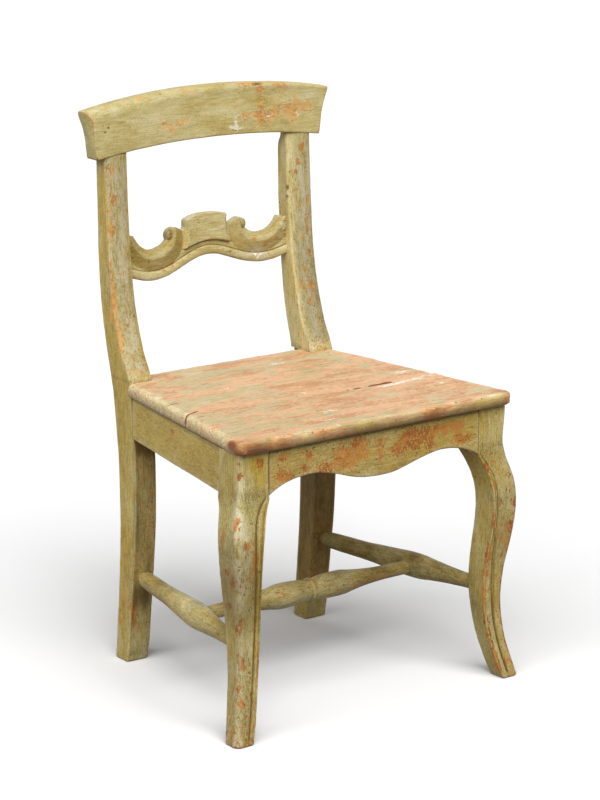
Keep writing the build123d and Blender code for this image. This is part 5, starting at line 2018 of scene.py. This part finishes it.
# --- stretchers
@dataclass
class Turning:
    """One turned member: its two ends and its radius along its length."""

    name: str
    node: str
    start: Place
    end: Place
    profile: Sequence[tuple[float, float]]
    seed: int
    # Extra dark glaze and shade over the whole member: dirt and painted shade.
    grime_and_shade: float = 0.0
    step: float = 1.3
    around: int = 56
    thickest: float = 25.0
    uneven: float = 0.9
    wave: float = 42.0

    def radius_along(self, nodes: Nodes) -> Socket:
        """Radius of the member as a share of the thickest, from one end to the other.

        Args:
            nodes: The node group.

        Returns:
            The share as an output.
        """
        share = nodes.node("GeometryNodeSplineParameter").outputs["Factor"]
        shape = nodes.node("ShaderNodeFloatCurve", {"Value": share})
        places = np.array(self.profile, float)
        length = places[-1, 0] - places[0, 0]
        points = shape.mapping.curves[0].points
        while len(points) < len(places):
            points.new(0.5, 0.5)
        for point, (place, radius) in zip(points, places):
            point.location = ((place - places[0, 0]) / length, radius / self.thickest)
            point.handle_type = "AUTO_CLAMPED"
        shape.mapping.update()
        return shape.outputs[0]

    def group(self) -> tuple[bpy.types.GeometryNodeTree, dict[str, str]]:
        """Node group that turns the member from its sizes.

        Returns:
            The group and the identifier of each named size.
        """
        tree = bpy.data.node_groups.new(f"{self.name}_turning", "GeometryNodeTree")
        kinds = {"Start": "Vector", "End": "Vector", "Step": "Float", "Around": "Int"}
        kinds |= {"Thickest": "Float", "Uneven": "Float", "Finish": "Material"}
        sockets = {}
        for label, kind in kinds.items():
            item = tree.interface.new_socket(label, in_out="INPUT", socket_type=f"NodeSocket{kind}")
            sockets[label] = item.identifier
        tree.interface.new_socket("Geometry", in_out="OUTPUT", socket_type="NodeSocketGeometry")
        nodes = Nodes(tree)
        sizes = nodes.node("NodeGroupInput").outputs

        def made(kind: str, inputs: dict | None = None, **settings: object) -> Socket:
            """First output of a new geometry node."""
            return nodes.node(f"GeometryNode{kind}", inputs, **settings).outputs[0]

        line = made("CurvePrimitiveLine", {"Start": sizes["Start"], "End": sizes["End"]})
        line = made("ResampleCurve", {"Curve": line, "Length": sizes["Step"]}, mode="LENGTH")
        radius = nodes.times(self.radius_along(nodes), sizes["Thickest"])
        line = made("SetCurveRadius", {"Curve": line, "Radius": radius})
        ring = made("CurvePrimitiveCircle", {"Resolution": sizes["Around"], "Radius": 1.0})
        inputs = {"Curve": line, "Profile Curve": ring, "Scale": made("InputRadius"), "Fill Caps": True}
        body = made("CurveToMesh", inputs)
        inputs = {"Vector": made("InputPosition"), "W": float(self.seed), "Scale": self.wave, "Detail": 2.0}
        noise = nodes.node("ShaderNodeTexNoise", inputs, noise_dimensions="4D").outputs["Fac"]
        depth = nodes.times(nodes.math("SUBTRACT", noise, 0.5), sizes["Uneven"])
        inputs = {0: made("InputNormal"), "Scale": depth}
        offset = nodes.node("ShaderNodeVectorMath", inputs, operation="SCALE").outputs[0]
        body = made("SetPosition", {"Geometry": body, "Offset": offset})
        body = made("RealizeInstances", {"Geometry": body})
        body = made("SetMaterial", {"Geometry": body, "Material": sizes["Finish"]})
        nodes.node("NodeGroupOutput", {0: body})
        return tree, sockets

    def turned_mesh(self, finish: Material) -> bpy.types.Object:
        """Runs the node group and keeps its mesh.

        Args:
            finish: Material of the member.

        Returns:
            The object, without a modifier.
        """
        holder = in_scene(self.name, bpy.data.meshes.new(f"{self.name}_blank"))
        modifier = holder.modifiers.new("turning", "NODES")
        modifier.node_group, sockets = self.group()
        sizes = {
            "Start": [value * MM for value in self.start], "End": [value * MM for value in self.end],
            "Step": self.step * MM, "Around": self.around, "Thickest": self.thickest * MM,
            "Uneven": self.uneven * MM, "Finish": finish,
        }
        for label, value in sizes.items():
            modifier[sockets[label]] = value
        holder.update_tag()
        graph = bpy.context.evaluated_depsgraph_get()
        mesh = bpy.data.meshes.new_from_object(holder.evaluated_get(graph))
        holder.modifiers.remove(modifier)
        holder.data = mesh
        return holder

    def dress(self, mesh: bpy.types.Mesh) -> Skin:
        """Marks the wear of the turned shape, with painted highlights on its swells and painted shade mixed
        with soiling on a member that lies in shadow.

        Args:
            mesh: The turned mesh.

        Returns:
            A skin with the points of the mesh.
        """
        flat = np.empty(len(mesh.vertices) * 3, np.float32)
        mesh.vertices.foreach_get("co", flat)
        quads = np.array([list(face.vertices) for face in mesh.polygons if face.loop_total == 4])
        shape = Skin(flat.reshape(-1, 3) / MM, [quads]).mark_wear(edge=0.7)
        start, end = np.array(self.start), np.array(self.end)
        length = np.linalg.norm(end - start)
        along = (end - start) / length
        place = (shape.points - start) @ along
        away = shape.points - start - place[:, None] * along
        swell_highlight = ease(12, 18, np.linalg.norm(away, axis=1))
        clouded = lattice_noise(shape.points, 26, 15 + self.seed)
        patchy = np.clip(lattice_noise(shape.points, 18, 40 + self.seed), 0, 1)
        return shape.calm(rubbed=0.8).add(
            deep=0.8 * (ease(9, 1, place) + ease(9, 1, length - place)) + 0.5 * patchy + self.grime_and_shade,
            shade=0.22 * swell_highlight + 0.3 * clouded - 0.42 - 0.4 * self.grime_and_shade,
            amber=0.6 - 0.4 * swell_highlight,
            spotted=0.8,
            bare=0.25,
        )

    def build(self, finish: Material, bare: Sequence[Spot], shade: Sequence[Spot] = ()) -> None:
        """Builds the member, marks its wear and hands it over.

        Args:
            finish: Material of the member.
            bare: Places where the paint is gone.
            shade: Places with painted light, or painted shade where their strength is below 0.
        """
        piece = self.turned_mesh(finish)
        self.dress(piece.data).spot(bare, bare=1).spot(shade, shade=1).write(piece.data)
        hand_over(piece, self.node)


@dataclass
class Stretchers:
    """The turned H stretcher: two side members and a cross member with a collar."""

    level: float = 140.0
    rear: tuple[float, float] = (172.0, 149.6)
    front: tuple[float, float] = (226.6, -178.6)
    cross_y: float = -49.5

    def cross_share(self) -> float:
        """Place of the cross member along the side members, as a share from the rear."""
        return (self.cross_y - self.rear[1]) / (self.front[1] - self.rear[1])

    def side_profile(self) -> list[tuple[float, float]]:
        """Radius of a side member along its length.

        Returns:
            Pairs of the distance from its rear end and the radius.
        """
        length = math.dist(self.rear, self.front)
        cross = length * self.cross_share()
        return [
            (0, 9), (4, 9), (18, 12.3), (cross - 98, 14.3), (cross - 40, 17.8), (cross, 19.5),
            (cross + 42, 16.1), (length - 45, 12.4), (length - 4, 11), (length, 11),
        ]

    def cross_profile(self) -> list[tuple[float, float]]:
        """Radius of the cross member, up to the axes of the side members.

        Returns:
            Pairs of the distance from its middle and the radius.
        """
        half = self.rear[0] + self.cross_share() * (self.front[0] - self.rear[0])
        right = [
            (2.1, 18.2), (3.2, 15.6), (6, 15.9), (22, 18.3), (48, 19.5), (78, 16.3), (104, 13.1),
            (134, 11.1), (half - 14, 10.5),
        ]
        return [(-a, r) for a, r in reversed(right)] + right

    def build(self, across: Material, backward: Material) -> None:
        """Builds the three members.

        Args:
            across: Finish with its grain across the chair.
            backward: Finish with its grain from front to back.
        """
        for side, word in SIDE_NAMES.items():
            rear, front = ((side * x, y, self.level) for x, y in (self.rear, self.front))
            names = f"{word}_stretcher_turned", f"{word}_side_stretcher"
            grime_and_shade = 0.12 + 0.12 * side
            member = Turning(*names, rear, front, self.side_profile(), 5 + side, grime_and_shade)
            # Painted light on the left side member.
            lit = spots((side * 200, -30, 140, 120, 0.16)) if side == LEFT else []
            bare = spots((side * 205, 20, 150, 9, 0.8), (side * 190, -90, 150, 9, 0.8))
            member.build(backward, bare, lit)
        profile = self.cross_profile()
        left, right = ((place, self.cross_y, self.level) for place in (profile[0][0], profile[-1][0]))
        bare = spots(
            (-60, -62, 150, 9, 0.8), (40, -64, 140, 8, 0.8), (72, -60, 134, 9, 1.0, 2, 1),
            (104, -58, 136, 8, 1.0, 2, 1), (134, -58, 138, 7, 0.9, 2, 1),
        )
        member = Turning("cross_stretcher_turned", "cross_stretcher", left, right, profile, 9)
        # Painted shade on the right half of the cross member.
        member.build(across, bare, spots((100, self.cross_y, 130, 62, -0.5)))


# --- glue blocks
@dataclass
class GlueBlocks:
    """The four blocks glued in by rubbing under the seat, which keep their CAD shape."""

    places: tuple[str, ...] = ("front", "rear", "left", "right")

    def build(self, wood: Material) -> None:
        """Gives the blocks a raw wood finish.

        Args:
            wood: The finish.
        """
        for place in self.places:
            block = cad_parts[f"{place}_seat_block"]
            if not block.material_slots:
                block.data.materials.append(None)
            for holder in block.material_slots:
                holder.link = "OBJECT"
                holder.material = wood
            log.info("%s: raw wood", block.name)


# --- studio
@dataclass
class Studio:
    """Camera, soft light and pale floor."""

    camera_place: Place = (-2516.9, -3445.7, 1559.6)
    camera_aim: Place = (0.74, -24.5, 432.1)
    camera_roll: float = 0.127
    lens: float = 131.88
    sensor: float = 36.0
    sight: float = 100.0
    front: float = 2.6
    left: float = 1.75
    ambient: float = 0.13
    floor_tone: float = 0.94
    floor_bounce: float = 0.16
    floor_reach: float = 30.0
    floor_drop: float = 0.0004

    def camera(self) -> None:
        """Places the camera."""
        place, aim = Vector(self.camera_place) * MM, Vector(self.camera_aim) * MM
        ahead = (aim - place).normalized()
        right = ahead.cross(Vector((0, 0, 1))).normalized()
        up = right.cross(ahead)
        roll = math.radians(self.camera_roll)
        across = right * math.cos(roll) + up * math.sin(roll)
        upward = up * math.cos(roll) - right * math.sin(roll)
        data = bpy.data.cameras.new("camera")
        data.lens, data.sensor_width, data.clip_end = self.lens, self.sensor, self.sight
        camera = in_scene("camera", data)
        turned = Matrix((across, upward, -ahead)).transposed()
        camera.matrix_world = Matrix.Translation(place) @ turned.to_4x4()
        bpy.context.scene.camera = camera

    def sun(self, name: str, towards: Place, strength: float, spread: float) -> None:
        """Adds one broad light.

        Args:
            name: Name of the light.
            towards: Direction from the object to the light.
            strength: Strength of the light.
            spread: Width of the light in degrees.
        """
        data = bpy.data.lights.new(name, "SUN")
        data.energy = strength
        data.angle = math.radians(spread)
        light = in_scene(name, data)
        light.rotation_euler = Vector(towards).to_track_quat("Z", "Y").to_euler()

    def world(self) -> None:
        """Even surroundings, white for the camera and dimmer as light."""
        world = bpy.data.worlds.new("studio")
        world.use_nodes = True
        nodes = Nodes(world.node_tree)
        inputs = {"Value": nodes.seen_by_camera(), "To Min": self.ambient, "To Max": 1.0}
        strength = nodes.node("ShaderNodeMapRange", inputs).outputs["Result"]
        back = nodes.tree.nodes["Background"].inputs
        back["Color"].default_value = (1, 1, 1, 1)
        nodes.tree.links.new(strength, back["Strength"])
        bpy.context.scene.world = world

    def floor(self) -> None:
        """Pale floor, drawn lighter for the camera than for the light it returns."""
        mesh = bpy.data.meshes.new("floor")
        reach = self.floor_reach
        corners = [(-reach, -reach), (reach, -reach), (reach, reach), (-reach, reach)]
        mesh.from_pydata([(x, y, -self.floor_drop) for x, y in corners], [], [(0, 1, 2, 3)])
        nodes = FinishNodes("floor")
        bounce, tone = ((value,) * 3 for value in (self.floor_bounce, self.floor_tone))
        colour = nodes.blend(nodes.seen_by_camera(), bounce, tone)
        surface = nodes.node("ShaderNodeBsdfDiffuse", {"Color": colour})
        nodes.node("ShaderNodeOutputMaterial", {"Surface": surface.outputs[0]})
        mesh.materials.append(nodes.material)
        in_scene("floor", mesh)

    def build(self) -> None:
        """Sets up the whole studio.

        Args:
        """
        self.camera()
        self.world()
        self.sun("front_softbox", (-0.12, -0.68, 0.85), self.front, 48)
        self.sun("left_softbox", (-0.8, -0.3, 0.75), self.left, 52)
        self.floor()
        bpy.context.scene.view_settings.view_transform = "Standard"


def main() -> None:
    """Builds the chair piece by piece, then the studio."""
    logging.basicConfig(level=logging.INFO, format="%(message)s")
    paint = WornPaint()
    sheltered = replace(
        paint, name="sheltered_paint", ground=(0.58, 0.24, 0.06), ground_dark=(0.34, 0.105, 0.022),
        primer=(0.58, 0.40, 0.15), flake_size=5.0, flake_stretch=1.8, grain_contrast=1.05, grain_lines=0.55,
    )
    rubbed_apron = replace(
        sheltered, name="apron_paint", primer=(0.66, 0.46, 0.19), thinning=0.5,
        ground=(0.60, 0.25, 0.055), ground_dark=(0.38, 0.12, 0.022), flake_stretch=0.5, flake_size=6.0,
    )
    handled = replace(paint, name="handled_paint", grain_contrast=1.1, grain_lines=0.55)
    domed = replace(
        paint, name="crest_paint", flake_edge=0.07, thinning=0.5, grain_contrast=0.66, grain_lines=0.32
    )
    seat_paint = WornPaint(
        name="worn_seat", pale=(0.70, 0.62, 0.42), light=(0.60, 0.495, 0.285), middle=(0.52, 0.42, 0.21),
        dark=(0.38, 0.285, 0.115), amber=(0.94, 0.80, 0.50), ground=(0.755, 0.455, 0.255),
        ground_dark=(0.56, 0.285, 0.13), glaze=(0.19, 0.054, 0.018), primer=(0.71, 0.50, 0.31),
        flake_size=13, flake_level=0.60, flake_edge=0.09, flake_stretch=3.6, thinning=0.4,
        speck_level=0.72, grain_contrast=1.1, grain_lines=0.6,
    )
    FrontLegs().build(sheltered.material(Grain.UPWARD))
    BackPosts().build(handled.material(Grain.UPWARD))
    SeatFrame().build(rubbed_apron.material(Grain.ACROSS), sheltered.material(Grain.BACKWARD))
    SeatBoards().build(seat_paint.material(Grain.ACROSS))
    CrestRail().build(domed.material(Grain.ACROSS))
    CarvedRail().build(paint.material(Grain.ACROSS))
    Stretchers().build(handled.material(Grain.ACROSS), handled.material(Grain.BACKWARD))
    GlueBlocks().build(RawWood().material(Grain.ACROSS))
    Studio().build()


if __name__ == "__main__":
    main()
